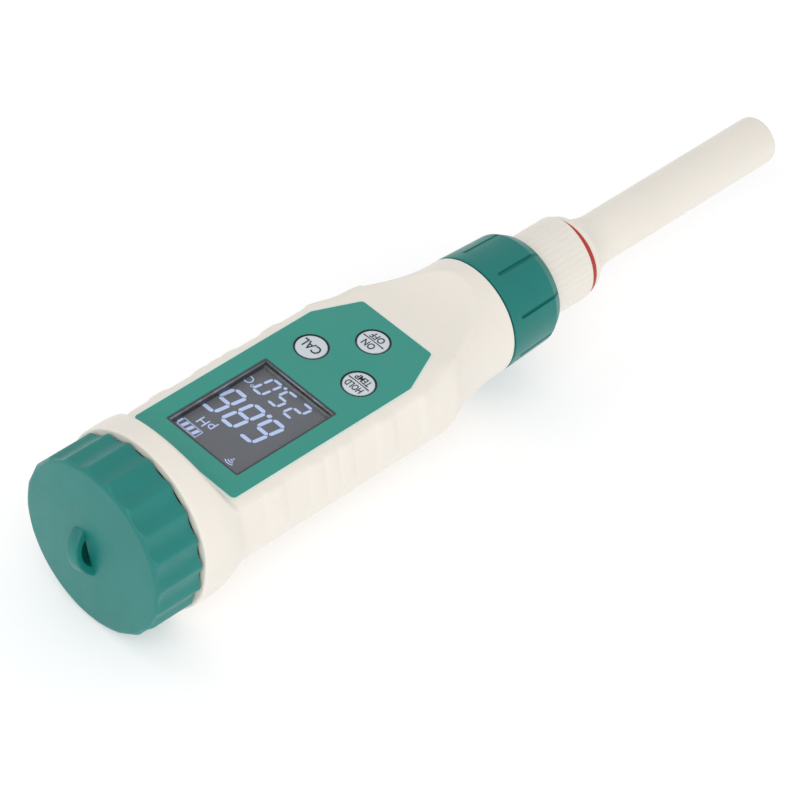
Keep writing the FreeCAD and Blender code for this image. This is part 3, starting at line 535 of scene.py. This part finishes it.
LCD_GREY = srgb(104, 105, 110)
FINISHES = {
    "cream_plastic": moulded("cream_plastic", srgb(236, 230, 220), 0.42, shade=0.985, scatter=0.12),
    "green_cap_plastic": moulded("green_cap_plastic", srgb(18, 125, 118), 0.38, shade=0.93, depth=0.008),
    "green_nut_plastic": moulded("green_nut_plastic", srgb(20, 122, 115), 0.36, shade=0.93, specular=0.35),
    "overlay_film": moulded("overlay_film", srgb(49, 146, 132), 0.42, shade=0.97, grain=6000, depth=0.003),
    "clear_window": clear("clear_window", (0.93, 0.94, 0.95, 1.0), 0.42),
    # The display's grey ground glows faintly in its own grey: painted light that brightens it as the white
    # surroundings mirrored in the pane do
    "lcd": glowing(moulded("lcd", LCD_GREY, 0.3, 0.01, shade=0.97, grain=9000, depth=0.001), LCD_GREY, 0.33),
    "key_plastic": moulded("key_plastic", srgb(206, 214, 222), 0.4, shade=0.97, grain=5000, depth=0.003),
    "black_plastic": moulded("black_plastic", srgb(24, 25, 27), 0.45),
    "white_plastic": moulded("white_plastic", srgb(232, 234, 234), 0.5, shade=0.97),
    "black_rubber": moulded("black_rubber", srgb(28, 27, 26), 0.7, depth=0.012),
    "red_rubber": moulded("red_rubber", srgb(184, 52, 34), 0.45, shade=0.88),
    "board": moulded("board", srgb(20, 84, 52), 0.35, shade=0.8, coat=0.4),
    "nickel": metal("nickel", srgb(196, 192, 184)),
    "steel": metal("steel", srgb(176, 178, 182), 0.3),
    "cell_jacket": moulded("cell_jacket", srgb(64, 86, 120), 0.25, shade=0.85, coat=0.5),
    "thin_glass": clear("thin_glass", (0.96, 0.99, 0.98, 1.0), 0.03),
    "silver": metal("silver", srgb(214, 210, 204), 0.35),
    "gold_pin": metal("gold_pin", srgb(224, 182, 92), 0.2),
    "porous_ceramic": pitted_with_painted_shade("porous_ceramic", srgb(236, 232, 222), srgb(206, 200, 186), 6000),
    "sponge": pitted_with_painted_shade("sponge", srgb(238, 214, 120), srgb(176, 146, 60), 1800),
    "blue_polymer": moulded("blue_polymer", srgb(52, 98, 158), 0.3, shade=0.9),
}
SEGMENT_LIGHT = lit("segment_light", srgb(184, 198, 232), 0.55)
INK = moulded("caption_ink", srgb(38, 40, 46), 0.55)
# Pale green-white of the film's rim: a painted highlight along the label's edge
LABEL_EDGE_HIGHLIGHT = moulded("label_edge_highlight", srgb(214, 232, 226), 0.4)
KEY_RIM = moulded("key_rim", srgb(22, 26, 28), 0.5)
WINDOW_RIM = moulded("window_rim", srgb(66, 68, 72), 0.35)
# Pale grey of the strip at the display's front edge: a painted highlight of the inner bevel's lit face
WINDOW_BEVEL_HIGHLIGHT = moulded("window_bevel_highlight", srgb(150, 150, 148), 0.25)
FLOOR = glowing(moulded("studio_floor", srgb(222, 222, 223), 0.9, shade=0.995, specular=0.1, depth=0.0),
                (1.0, 1.0, 1.0, 1.0), 0.36)


def dress_cad_nodes():
    """Every carried-over CAD node gets the finish of its slot."""
    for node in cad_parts.values():
        for holder in node.material_slots:
            holder.material = FINISHES[holder.material.name.split(".")[0]]


# ---------------------------------------------------------------- housing

def grip_inset(y):
    """How far the side is set in at station y: four long finger recesses and two grooves between them."""
    along = y - GRIP_MIDDLE_Y
    inset = 0.0
    for offset, half_length in RECESSES:
        reach = np.abs(np.abs(along) - offset) - half_length
        inset = inset + 1 - smooth_step(reach, -GRIP_RUN / 2, GRIP_RUN / 2)
    for offset in GROOVES:
        inset = inset + GROOVE_SHARE * (1 - smooth_step(np.abs(along - offset), 0, GROOVE_RUN))
    return GRIP_DEPTH * inset


def nose_radius(y):
    """Concave run from the nose up to the barrel."""
    along = np.clip(y - NOSE_TANGENT_Y, 0, NOSE_ARC / 2)
    return NOSE + NOSE_ARC - np.sqrt(NOSE_ARC ** 2 - along ** 2)


def turned_radius(y):
    """Radius of the turned body: nose, barrel and flared shoulder."""
    flare = smooth_step(y, BARREL_REAR_Y, SHOULDER_FRONT_Y)
    return smooth_min(nose_radius(y), BARREL, NOSE_BLEND) + (SHOULDER - BARREL) * flare


def face_top(y):
    """Height of the display face, with its scoop onto the nose and its ramp to the shoulder."""
    rise = np.clip((y - FACE_REAR_Y) / RAMP_LENGTH, 0, None)
    return FACE + SCOOP * np.clip(SCOOP_Y - y, 0, None) ** 3 + RAMP_RISE * rise ** RAMP_POWER


def square_radius(y, level, across, base):
    """Square upper corners between the nose and the shoulder. Elsewhere it stays inside the turned body."""
    cheek = eased(y, CHEEK_TIP_Y, CHEEK_BEND_Y, CHEEK_TIP, CHEEK)
    square = (level > 0) & (y > CHEEK_TIP_Y)
    corner = np.where(square, np.minimum(cheek / across, SHOULDER), base - 1)
    return eased(y, *SQUARE_FADE, corner, base)


def side_radius(y, across):
    """Upright side with its grip, flared into the shoulder."""
    flare = smooth_step(y, FLARE_Y, FLARE_Y + FLARE_LENGTH)
    side = CHEEK - grip_inset(y) + (SHOULDER - CHEEK) * flare
    return np.where(y > CHEEK_TIP_Y, side, SHOULDER) / across


def housing_ring(y, turns):
    """Radius of the housing at each angle: half round below, square shouldered above."""
    level = np.sin(turns)
    across = np.maximum(np.abs(np.cos(turns)), 1e-3)
    base = turned_radius(y)
    height = np.clip(base * level, -BARREL, FACE)
    leaning_y = y - CHEEK_LEAN * (height - CHEEK_LEAN_HEIGHT)
    radius = smooth_max(square_radius(y, level, across, base), np.full_like(turns, base),
                        eased(y, *BARREL_TO_SIDE))
    radius = smooth_min(radius, side_radius(leaning_y, across), eased(y, *SIDE_TO_FLARE))
    top = face_top(y) / np.maximum(level, 1e-3)
    floor = AXIS / np.maximum(-level, 1e-3)
    return np.where(level > 0, smooth_min(radius, top, eased(y, *SIDE_TO_FACE)), np.minimum(radius, floor))


def edge_drop(distance, radius):
    """How far a rounded edge has fallen at a distance inside the edge."""
    inside = np.clip(radius - distance, 0, radius)
    return radius - math.sqrt(radius ** 2 - inside ** 2)


def round_ring(radius, y, turns):
    """Ring of points at one station: the radius is one number, or one for each angle."""
    return list(zip(radius * np.cos(turns), np.full_like(turns, y), radius * np.sin(turns)))


def housing_turns():
    """Angles round the housing, set closer where the sides meet the face."""
    even = np.linspace(0, 2 * np.pi, 4001)
    corner = math.atan2(FACE, CHEEK)
    weight = 1 + sum(3 * np.exp(-((even - turn) / 0.08) ** 2) for turn in (corner, math.pi - corner))
    share = np.concatenate([[0], np.cumsum((weight[1:] + weight[:-1]) / 2)])
    return np.interp(np.linspace(0, share[-1], 360, endpoint=False), share, even)


def housing_skin():
    """Closed skin of the housing from the tip of one thread neck to the tip of the other."""
    turns = housing_turns()
    ends = np.array([0.0, 0.05, 0.12, 0.22, 0.35, 0.5])
    stations = np.concatenate([
        NOSE_END_Y + ends,
        np.arange(NOSE_END_Y + 0.75, SHOULDER_REAR_Y - 0.6, 0.25),
        (SHOULDER_REAR_Y - ends)[::-1],
    ])
    rings = [round_ring(FRONT_NECK - NECK_EDGE, FRONT_NECK_Y, turns),
             round_ring(FRONT_NECK, FRONT_NECK_Y + NECK_EDGE, turns),
             round_ring(FRONT_NECK, NOSE_END_Y, turns)]
    for y in stations:
        radii = housing_ring(y, turns)
        radii = radii - edge_drop(y - NOSE_END_Y, NOSE_EDGE) - edge_drop(SHOULDER_REAR_Y - y, SHOULDER_EDGE)
        rings.append(round_ring(radii, y, turns))
    rings += [round_ring(REAR_NECK, SHOULDER_REAR_Y, turns),
              round_ring(REAR_NECK, REAR_NECK_Y - NECK_EDGE, turns),
              round_ring(REAR_NECK - NECK_EDGE, REAR_NECK_Y, turns)]
    return capped_skin("housing_shell", rings)


def overlay_outline(margin=0.0):
    """Outline of the green film, grown by a margin."""
    half = OVERLAY_HIGH.x + margin
    tip = OVERLAY_TIP_HALF + margin
    front = OVERLAY_LOW.y - margin
    rear = OVERLAY_HIGH.y + margin
    return rounded([
        (tip, front, OVERLAY_CORNER),
        (half, OVERLAY_BEND_Y, OVERLAY_BEND),
        (half, rear, OVERLAY_CORNER),
        (-half, rear, OVERLAY_CORNER),
        (-half, OVERLAY_BEND_Y, OVERLAY_BEND),
        (-tip, front, OVERLAY_CORNER),
    ])


def window_outline(inset=0.0, corner=0.4):
    """Outline of the display window, shrunk by an inset."""
    left, right = WINDOW_LOW.x + inset, WINDOW_HIGH.x - inset
    front, rear = WINDOW_LOW.y + inset, WINDOW_HIGH.y - inset
    return rounded([(left, front, corner), (right, front, corner),
                    (right, rear, corner), (left, rear, corner)])


def key_places():
    """Centre and top of each key, from its CAD node."""
    places = {}
    for key in KEYS:
        low, high = span("key_" + key)
        centre = (low + high) / 2
        places[key] = (centre.x, centre.y, high.z)
    return places


def cavity_tool():
    """Cutter for the hollow behind the face: round below and flat above."""
    lift = math.asin(CAVITY_TOP / CAVITY_RADIUS)
    turns = np.linspace(math.pi - lift, 2 * math.pi + lift, 64)
    rings = [round_ring(CAVITY_RADIUS, y, turns) for y in (CAVITY_FRONT_Y, CAVITY_REAR_Y)]
    return capped_skin("cavity_tool", rings)


def make_housing():
    """Hollow housing, opened for the film, the window, the keys and the electrode's plug."""
    shell = housing_skin()
    tools = [
        cavity_tool(),
        lathe("bore_tool", [(0, FRONT_NECK_Y - 1), (BORE, FRONT_NECK_Y - 1), (BORE, CAVITY_FRONT_Y + 1),
                            (0, CAVITY_FRONT_Y + 1)], 96),
        flat_piece("overlay_tool", [overlay_outline(OVERLAY_LINE)], OVERLAY_LOW.z - 0.05, FACE + 1),
        flat_piece("window_tool", [window_outline(-WINDOW_GAP)], CAVITY_TOP - 1, FACE + 1),
    ]
    for key, (x, y, _) in key_places().items():
        opening = circle(x, y, KEY_RADIUS + KEY_RING)
        tools.append(flat_piece("key_tool_" + key, [opening], CAVITY_TOP - 1, FACE + 1))
    carve(shell, tools)
    finish_piece(shell, FINISHES["cream_plastic"], "housing", ["housing"])


def make_thread(name, radius, start_y, end_y, pitch, body):
    """Raised trapezoid thread, tapering into the neck at both ends."""
    turns = abs(end_y - start_y) / pitch
    count = int(turns * 72)
    section = [(-0.55, -THREAD_ROOT), (-0.22, THREAD_RISE), (0.22, THREAD_RISE), (0.55, -THREAD_ROOT)]
    rings = []
    for step in range(count + 1):
        share = step / count
        turn = 2 * math.pi * turns * share
        swell = min(1.0, 12 * min(share, 1 - share))
        ring = []
        for along, out in section:
            reach = radius + (out + THREAD_ROOT) * swell - THREAD_ROOT
            ring.append((reach * math.cos(turn), start_y + (end_y - start_y) * share + along * swell,
                         reach * math.sin(turn)))
        rings.append(ring)
    thread = capped_skin(name, rings)
    finish_piece(thread, FINISHES["cream_plastic"], body, sharp=25)


# ---------------------------------------------------------------- display face

def make_overlay():
    """Green film with holes for the window and keys, and a thin pale rim along its outline whose colour is a
    painted highlight of the film's edge.
    """
    holes = [window_outline(-WINDOW_GAP)]
    for x, y, _ in key_places().values():
        holes.append(circle(x, y, KEY_RADIUS + KEY_RING))
    label = flat_piece("overlay_label", [overlay_outline()] + holes, OVERLAY_LOW.z, FACE + 0.03, 0.05)
    finish_piece(label, FINISHES["overlay_film"], "housing", ["front_overlay"])
    # Thin pale band round the film's outline, painted as the highlight its edge catches
    rim = flat_piece("overlay_edge_highlight", [overlay_outline(OVERLAY_HIGHLIGHT_REACH), overlay_outline(-OVERLAY_HIGHLIGHT_REACH)],
                     OVERLAY_LOW.z, FACE + 0.05, 0.03)
    finish_piece(rim, LABEL_EDGE_HIGHLIGHT, "housing")


def make_window():
    """Surround of the window, the pale strip at its front edge that stands for the display's inner bevel, its
    pale grey a painted highlight of the bevel's lit face, and the clear pane.
    """
    rim = flat_piece("window_surround", [window_outline(0.0), window_outline(WINDOW_SURROUND, 0.2)],
                     LCD_TOP, FACE - 0.02, 0.04)
    finish_piece(rim, WINDOW_RIM, "housing", ["window_gasket"])
    setback = WINDOW_SURROUND + 0.03
    left, right, front = WINDOW_LOW.x + setback, WINDOW_HIGH.x - setback, WINDOW_LOW.y + setback
    rear = front + WINDOW_SURROUND
    # Raised strip for the display's inner bevel; its pale grey is a painted highlight
    strip = flat_piece("window_bevel_highlight_strip", [[(left, front), (right, front), (right, rear), (left, rear)]],
                       LCD_TOP, LCD_TOP + BEVEL_STRIP_RISE, 0.05)
    finish_piece(strip, WINDOW_BEVEL_HIGHLIGHT, "housing")
    pane = flat_piece("window_pane", [window_outline(WINDOW_SURROUND + 0.02, 0.2)],
                      FACE - 0.75, FACE - 0.05, 0.04)
    finish_piece(pane, FINISHES["clear_window"], "housing", ["window_lens"])


def make_keys():
    """Three domed keys, each with a ring round it in the face."""
    for key, (x, y, top) in key_places().items():
        rings = [[spot + (top - drop,) for spot in circle(x, y, radius)] for radius, drop in KEY_DOME]
        button = capped_skin("key_button_" + key, rings)
        finish_piece(button, FINISHES["key_plastic"], "key_" + key, ["key_" + key])
        ring = flat_piece("key_ring_" + key, [circle(x, y, KEY_RADIUS + KEY_RING - 0.02),
                                              circle(x, y, KEY_RADIUS + 0.06)], FACE - 0.9, FACE + 0.06, 0.05)
        finish_piece(ring, KEY_RIM, "housing")


def caption(name, words, size, x, y, height, finish, body, squeeze=1.0, weight=0.0):
    """Flat lettering centred on a point of the face, squeezed in width and thickened by its weight."""
    text = bpy.data.curves.new(name, "FONT")
    text.body = words
    text.size = size * MM
    text.align_x = "CENTER"
    text.align_y = "CENTER"
    text.extrude = 0.025 * MM
    text.offset = weight * MM
    text.resolution_u = 3
    letters = solid_from(name, text, (0, 0, -AXIS))
    letters.data.transform(Matrix.Diagonal((squeeze, 1, 1, 1)))
    letters.data.transform(Matrix.Translation(place(x, y, height)))
    finish_piece(letters, finish, body)


def make_captions():
    """One word across the first key, and one on each side of a line on the other two."""
    lift, line_half, line_reach = 0.01, 0.1, 2.75
    x, y, top = key_places()["cal"]
    caption("caption_cal", "CAL", 3.1, x, y, top + lift, INK, "key_cal", 0.85, 0.02)
    for key, upper, lower, size, squeeze in (("on_off", "ON", "OFF", 2.4, 0.8),
                                             ("hold_temp", "HOLD", "TEMP", 2.3, 0.68)):
        x, y, top = key_places()[key]
        for name, words, offset in (("upper", upper, 1.3), ("lower", lower, -1.3)):
            caption("caption_%s_%s" % (name, key), words, size, x, y + offset, top + lift, INK,
                    "key_" + key, squeeze, 0.015)
        left, right, front, rear = x - line_reach, x + line_reach, y - line_half, y + line_half
        outline = [(left, front), (right, front), (right, rear), (left, rear)]
        line = flat_piece("caption_line_" + key, [outline], top - 0.16, top + 0.03)
        finish_piece(line, INK, "key_" + key)


# Each digit's lit bars: top, upper left, upper right, middle, lower left, lower right, bottom
DIGITS = {"0": "1110111", "2": "1011101", "5": "1101011", "6": "1101111", "8": "1111111"}
SLANT = 0.16
BAR_GAP = 0.16


def bar(start, end, width):
    """Outline of one display bar with pointed ends, a little short of its two corners."""
    start, end = Vector(start), Vector(end)
    along = (end - start).normalized()
    start, end = start + along * BAR_GAP, end - along * BAR_GAP
    side = Vector((-along.y, along.x)) * width / 2
    tip = along * width / 2
    return [start, start + tip + side, end - tip + side, end, end - tip - side, start + tip - side]


def digit_bars(character, width, height, thickness):
    """Outlines of the lit bars of one upright digit about its own centre."""
    left, right, low, middle, high = -width / 2, width / 2, -height / 2, 0, height / 2
    ends = [((left, high), (right, high)), ((left, middle), (left, high)), ((right, middle), (right, high)),
            ((left, middle), (right, middle)), ((left, low), (left, middle)), ((right, low), (right, middle)),
            ((left, low), (right, low))]
    return [bar(a, b, thickness) for (a, b), shown in zip(ends, DIGITS[character]) if shown == "1"]


def reading(characters, x, y, pitch, width, height, thickness):
    """Outlines of a number such as 6.86, centred on a point of the display."""
    outlines = []
    count = len(characters.replace(".", ""))
    step = -(count - 1) / 2
    for character in characters:
        if character == ".":
            middle = Vector(((step - 0.5) * pitch, -height / 2))
            outlines.append([middle + Vector(point) for point in circle(0, 0, 0.6 * thickness, 12)])
            continue
        for outline in digit_bars(character, width, height, thickness):
            outlines.append([point + Vector((step * pitch, 0)) for point in outline])
        step += 1
    return [[(x + point.x + SLANT * point.y, y + point.y) for point in outline] for outline in outlines]


def battery_icon(x, y, length, height):
    """Outlined battery with three slanted bars of charge."""
    line = 0.16
    left, right, low, high = x - length / 2, x + length / 2, y - height / 2, y + height / 2
    frame_bars = [(left, high - line, right, high), (left, low, right, low + line),
                  (left, low, left + line, high), (right - line, low, right, high),
                  (right + 0.04, y - 0.3 * height, right + 0.34, y + 0.3 * height)]
    outlines = [[(a, b), (c, b), (c, d), (a, d)] for a, b, c, d in frame_bars]
    inner_low, inner_high = low + 2 * line, high - 2 * line
    for share in (0.1, 0.38, 0.66):
        start = left + share * length
        end = start + 0.15 * length
        outlines.append([(start, inner_low), (end, inner_low),
                         (end + 0.25, inner_high), (start + 0.25, inner_high)])
    return outlines


def signal_icon(x, y, size):
    """Three nested arcs over a dot, the usual sign for a wireless link."""
    outlines = [circle(x, y - 0.45 * size, 0.11 * size, 12)]
    for radius in (0.38, 0.68, 0.98):
        arc = [math.radians(angle) for angle in range(50, 131, 10)]
        outer = [(x + radius * size * math.cos(a), y - 0.45 * size + radius * size * math.sin(a))
                 for a in arc]
        inner_radius = radius - 0.13
        inner = [(x + inner_radius * size * math.cos(a), y - 0.45 * size + inner_radius * size * math.sin(a))
                 for a in reversed(arc)]
        outlines.append(outer + inner)
    return outlines


def display_piece(name, outlines):
    """Thin lit plates on the display glass, one for each outline."""
    points, faces = [], []
    for outline in outlines:
        base = len(points)
        count = len(outline)
        points += [(x, y, LCD_TOP - 0.01) for x, y in outline] + [(x, y, LCD_TOP + 0.03) for x, y in outline]
        faces.append(tuple(range(base, base + count)))
        faces.append(tuple(range(base + count, base + 2 * count)))
        faces += [(base + i, base + (i + 1) % count, base + count + (i + 1) % count, base + count + i)
                  for i in range(count)]
    finish_piece(mesh_piece(name, points, faces), SEGMENT_LIGHT, "housing")


def make_readings():
    """Two numbers with their units, the battery sign and the wireless sign."""
    display_piece("display_ph_value", reading("6.86", 2.4, 52.8, 5.35, 3.25, 7.6, 0.85))
    display_piece("display_temperature_value", reading("25.0", 1.0, 43.8, 4.25, 2.45, 4.9, 0.6))
    display_piece("display_battery_icon", battery_icon(6.5, 63.0, 5.2, 2.2))
    display_piece("display_signal_icon", signal_icon(-5.0, 63.0, 1.8))
    for name, words, size, x, y in (("display_unit_ph", "pH", 3.2, 5.35, 59.8),
                                    ("display_unit_celsius", "°C", 2.9, 8.4, 45.0)):
        caption(name, words, size, x, y, LCD_TOP + 0.01, SEGMENT_LIGHT, "housing")


# ---------------------------------------------------------------- battery cap

def fluted(radius, y, turns):
    """Soft grip flutes that run out onto the rounded edge of the end face."""
    valley = (0.5 + 0.5 * np.cos(FLUTES * (turns - math.pi / 2))) ** FLUTE_POWER
    side = smooth_step(radius, CAP_WALL_RADIUS + 0.5, CAP_HIGH.x - 0.7)
    reach = smooth_step(CAP_FACE_Y - y, 0.0, FLUTE_RUN) * side
    return radius - FLUTE_DEPTH * valley * reach


def make_cap():
    """Fluted battery cap, with the lanyard loop on its end face."""
    crest = CAP_HIGH.x
    outline = rounded([
        (CAP_WALL_RADIUS, CAP_LOW.y, 0.3),
        (crest, CAP_LOW.y, 0.35),
        *[(crest, y) for y in np.arange(CAP_LOW.y + 1, CAP_FACE_Y - CAP_ROUND - 0.2, 0.4)],
        (crest, CAP_FACE_Y, CAP_ROUND),
        (0, CAP_FACE_Y + CAP_CROWN),
        (0, CAP_FLOOR_Y),
        (CAP_WALL_RADIUS, CAP_FLOOR_Y, 0.5),
    ], 8)
    start = next(index for index, (radius, station) in enumerate(outline)
                 if radius == 0 and station < CAP_FACE_Y)
    shell = carve(lathe("battery_cap_shell", outline[start:] + outline[:start], 480, fluted), [loop_pocket()])
    finish_piece(shell, FINISHES["green_cap_plastic"], "battery_cap",
                 ["battery_cap"], 40)
    finish_piece(lanyard_loop(), FINISHES["green_cap_plastic"], "battery_cap", sharp=50)


def loop_rise(share, half_span, rise):
    """Point of a flat arc over the end face, from 0 at one root to 1 at the other."""
    radius = (half_span ** 2 + rise ** 2) / (2 * rise)
    lean = math.asin(half_span / radius) * (2 * share - 1)
    return Vector((radius * math.sin(lean), radius * math.cos(lean) - radius + rise))


def loop_directions():
    """Along the strap's chord and across it, both in the plane of the end face."""
    chord = Vector((math.cos(LOOP_TURN), 0, -math.sin(LOOP_TURN)))
    return chord, Vector((-chord.z, 0, chord.x))


def loop_pocket():
    """Cutter for the shallow pocket in the end face under the strap."""
    chord, across = loop_directions()
    length, width = LOOP_HOLE_HALF_SPAN - 0.1, LOOP_POCKET_HALF_WIDTH
    outline = rounded([(-length, -width, 0.6), (length, -width, 0.6),
                       (length, width, 0.6), (-length, width, 0.6)], 4)
    rings = []
    for y in (LOOP_POCKET_Y, CAP_FACE_Y + 1):
        spots = [chord * u + across * v for u, v in outline]
        rings.append([(spot.x + LOOP_X, y, spot.z + LOOP_HEIGHT) for spot in spots])
    return capped_skin("pocket_tool", rings)


def lanyard_loop():
    """Arched strap on the end face: the hole under it is a smaller half moon."""
    chord, across = loop_directions()
    crown = CAP_HIGH.y - CAP_FACE_Y
    rings = []
    for share in np.linspace(0, 1, 49):
        outer = loop_rise(share, LOOP_HALF_SPAN, crown + LOOP_ROOT)
        inner = loop_rise(share, LOOP_HOLE_HALF_SPAN, LOOP_HOLE_RISE + LOOP_ROOT)
        ring = []
        for u, v in rounded([(-1, 0, 0.2), (1, 0, 0.2), (1, 1, 0.2), (-1, 1, 0.2)], 3):
            along = inner + (outer - inner) * v
            spot = chord * along.x + across * LOOP_HALF_WIDTH * u
            ring.append((spot.x + LOOP_X, CAP_FACE_Y - LOOP_ROOT + along.y, spot.z + LOOP_HEIGHT))
        rings.append(ring)
    return capped_skin("battery_cap_loop", rings)


# ---------------------------------------------------------------- probe end

def grooved(radius, y, turns):
    """Eight narrow finger grooves that start short of the nut's rear edge."""
    half_pitch = math.pi / NUT_GROOVES
    phase = (turns - NUT_GROOVE_TURN + half_pitch) % (2 * half_pitch) - half_pitch
    channel = 1 - smooth_step(np.abs(phase) * radius, GROOVE_HALF * 0.55, GROOVE_HALF)
    run = smooth_step(GROOVE_REAR_Y - y, 0, 0.35)
    if y < NUT_LIP_Y:
        outside = smooth_step(radius, NUT_TIP + 0.05, NUT_TIP + 0.5)
    else:
        outside = float(radius > NUT_BORE + 0.3)
    return radius - GROOVE_DEPTH * channel * run * outside


def make_nut():
    """Ring nut with a slight taper, a chamfer, an inner lip and finger grooves."""
    side = [(NUT_HIGH.x - (NUT_HIGH.x - NUT_FRONT) * share, NUT_HIGH.y + (NUT_CHAMFER_Y - NUT_HIGH.y) * share)
            for share in np.linspace(0.1, 0.9, 40)]
    outline = rounded([
        (NUT_BORE, NUT_HIGH.y),
        (NUT_HIGH.x, NUT_HIGH.y, 0.3),
        *side,
        (NUT_FRONT, NUT_CHAMFER_Y, 0.7),
        (NUT_TIP, NUT_LOW.y, 0.4),
        (NUT_LIP, NUT_LOW.y, 0.25),
        (NUT_LIP, NUT_LIP_Y),
        (NUT_BORE, NUT_LIP_Y),
    ], 6)
    nut = lathe("ring_nut_shell", outline, 720, grooved)
    finish_piece(nut, FINISHES["green_nut_plastic"], "ring_nut", ["ring_nut"], 40)


def ribbed(radius, y, turns):
    """Fine grip ribs that stop just short of the sleeve's front edge."""
    valley = np.abs(np.cos(RIBS / 2 * turns)) ** 8
    run = smooth_step(y, COLLAR_EDGE_Y - 0.2, COLLAR_EDGE_Y + 1.2)
    return radius - RIB_DEPTH * valley * run


def lean_front(collar):
    """Moves the collar's front edge out over the seal, most of all at the top."""
    for vertex in collar.data.vertices:
        spot = vertex.co / MM
        turn = math.atan2(spot.z - AXIS, spot.x) - COLLAR_LEAN_TURN
        reach = smooth_step(-spot.y, -COLLAR_EDGE_Y - 2, -COLLAR_EDGE_Y)
        vertex.co.y -= COLLAR_LEAN * MM * reach * (0.5 + 0.5 * math.cos(turn)) ** COLLAR_LEAN_POWER


def make_collar():
    """Ribbed sleeve over the CAD electrode body. Its front edge leans, so the seal is widest below."""
    rear = NUT_LOW.y + 1.8
    outline = [(COLLAR, y) for y in np.linspace(rear, COLLAR_EDGE_Y, 26)] + rounded([
        (COLLAR, COLLAR_EDGE_Y + 0.05, 0.12),
        (COLLAR_TIP, COLLAR_FRONT_Y, 0.1),
        (COLLAR_BORE, COLLAR_FRONT_Y - 0.02),
        (COLLAR_BORE, rear),
    ], 5)
    collar = lathe("electrode_collar", outline, 672, ribbed)
    lean_front(collar)
    finish_piece(collar, FINISHES["cream_plastic"], "electrode", sharp=40)


def make_red_ring():
    """Soft seal ring squeezed between the collar and the sleeve."""
    outline = rounded([
        (SEAL_BORE, RED_HIGH.y, 0.2),
        (RED_HIGH.x, RED_HIGH.y, 0.35),
        (RED_HIGH.x, RED_LOW.y, 0.35),
        (SEAL_BORE, RED_LOW.y, 0.2),
    ], 8)
    ring = lathe("probe_seal", outline, 160)
    finish_piece(ring, FINISHES["red_rubber"], "electrode", ["probe_seal_ring"], 50)


def make_sleeve():
    """Protective sleeve: flared skirt, concave run and a long tube with a closed end."""
    flare = [(TUBE + TUBE_ARC - math.sqrt(TUBE_ARC ** 2 - (y - TUBE_ARC_Y) ** 2), y)
             for y in np.linspace(SKIRT_Y, TUBE_ARC_Y, 16)]
    inner_end_y = SLEEVE_LOW.y + TUBE_END_WALL
    outside = rounded([
        (MOUTH, SLEEVE_HIGH.y),
        (SLEEVE_HIGH.x, SLEEVE_HIGH.y, 0.15),
        (SLEEVE_HIGH.x, SLEEVE_HIGH.y - SKIRT_BAND, 0.25),
        *flare,
        (TUBE, SLEEVE_LOW.y, 1.2),
        (0, SLEEVE_LOW.y),
    ], 8)
    inside = rounded([(0, inner_end_y), (TUBE_BORE, inner_end_y, 0.8),
                      (TUBE_BORE, MOUTH_Y), (MOUTH, MOUTH_Y)], 8)
    sleeve = lathe("probe_sleeve", inside + outside, 160)
    finish_piece(sleeve, FINISHES["cream_plastic"], "probe_cap", ["probe_cap"], 40)


# ---------------------------------------------------------------- studio

def make_floor():
    """Flat floor just under the pen."""
    mesh = bpy.data.meshes.new("studio_floor")
    reach, level = 6.0, -FLOOR_GAP
    corners = [(-reach, -reach, level), (reach, -reach, level), (reach, reach, level), (-reach, reach, level)]
    mesh.from_pydata(corners, [], [(0, 1, 2, 3)])
    floor = piece_of("studio_floor", mesh)
    floor.data.materials.append(FLOOR)


def softbox(name, spot, size, power):
    """Square area light aimed at the middle of the object."""
    light = bpy.data.lights.new(name, "AREA")
    light.shape = "SQUARE"
    light.size = size
    light.energy = power
    lamp = piece_of(name, light)
    lamp.location = spot
    lamp.rotation_euler = (Vector((0, 0, 0.02)) - Vector(spot)).to_track_quat("-Z", "Y").to_euler()


def make_studio():
    """Floor, white surroundings and three soft lights."""
    make_floor()
    world = bpy.data.worlds.new("studio_world")
    world.use_nodes = True
    world.node_tree.nodes["Background"].inputs["Color"].default_value = (1.0, 1.0, 1.0, 1.0)
    world.node_tree.nodes["Background"].inputs["Strength"].default_value = 0.72
    bpy.context.scene.world = world
    softbox("key_light", (-0.35, 0.7, 0.8), 0.7, 2.7)
    softbox("fill_light", (-1.0, 0.1, 0.3), 0.8, 1.8)
    softbox("rim_light", (0.7, 0.2, 0.7), 0.7, 0.8)
    bpy.context.scene.view_settings.view_transform = "Standard"


def make_camera():
    """Camera at the photo's angle."""
    view = bpy.data.cameras.new("camera")
    view.sensor_width = 36
    view.lens = CAMERA_LENS
    view.clip_start = 0.05
    view.clip_end = 20
    camera = piece_of("camera", view)
    right = Vector(CAMERA_RIGHT).normalized()
    back = right.cross(Vector(CAMERA_UP)).normalized()
    turn = Matrix((right, back.cross(right), back)).transposed()
    camera.matrix_world = Matrix.Translation(CAMERA_PLACE) @ turn.to_4x4()
    bpy.context.scene.camera = camera


# ---------------------------------------------------------------- build

dress_cad_nodes()
make_housing()
make_thread("rear_neck_thread", REAR_NECK, REAR_NECK_Y - 1.2, SHOULDER_REAR_Y + 1.2, 2.0, "housing")
make_thread("front_neck_thread", FRONT_NECK, FRONT_NECK_Y + 1.0, NOSE_END_Y - 1.0, 1.5, "housing")
make_overlay()
make_window()
make_keys()
make_captions()
make_readings()
make_cap()
make_nut()
make_collar()
make_red_ring()
make_sleeve()
make_studio()
make_camera()
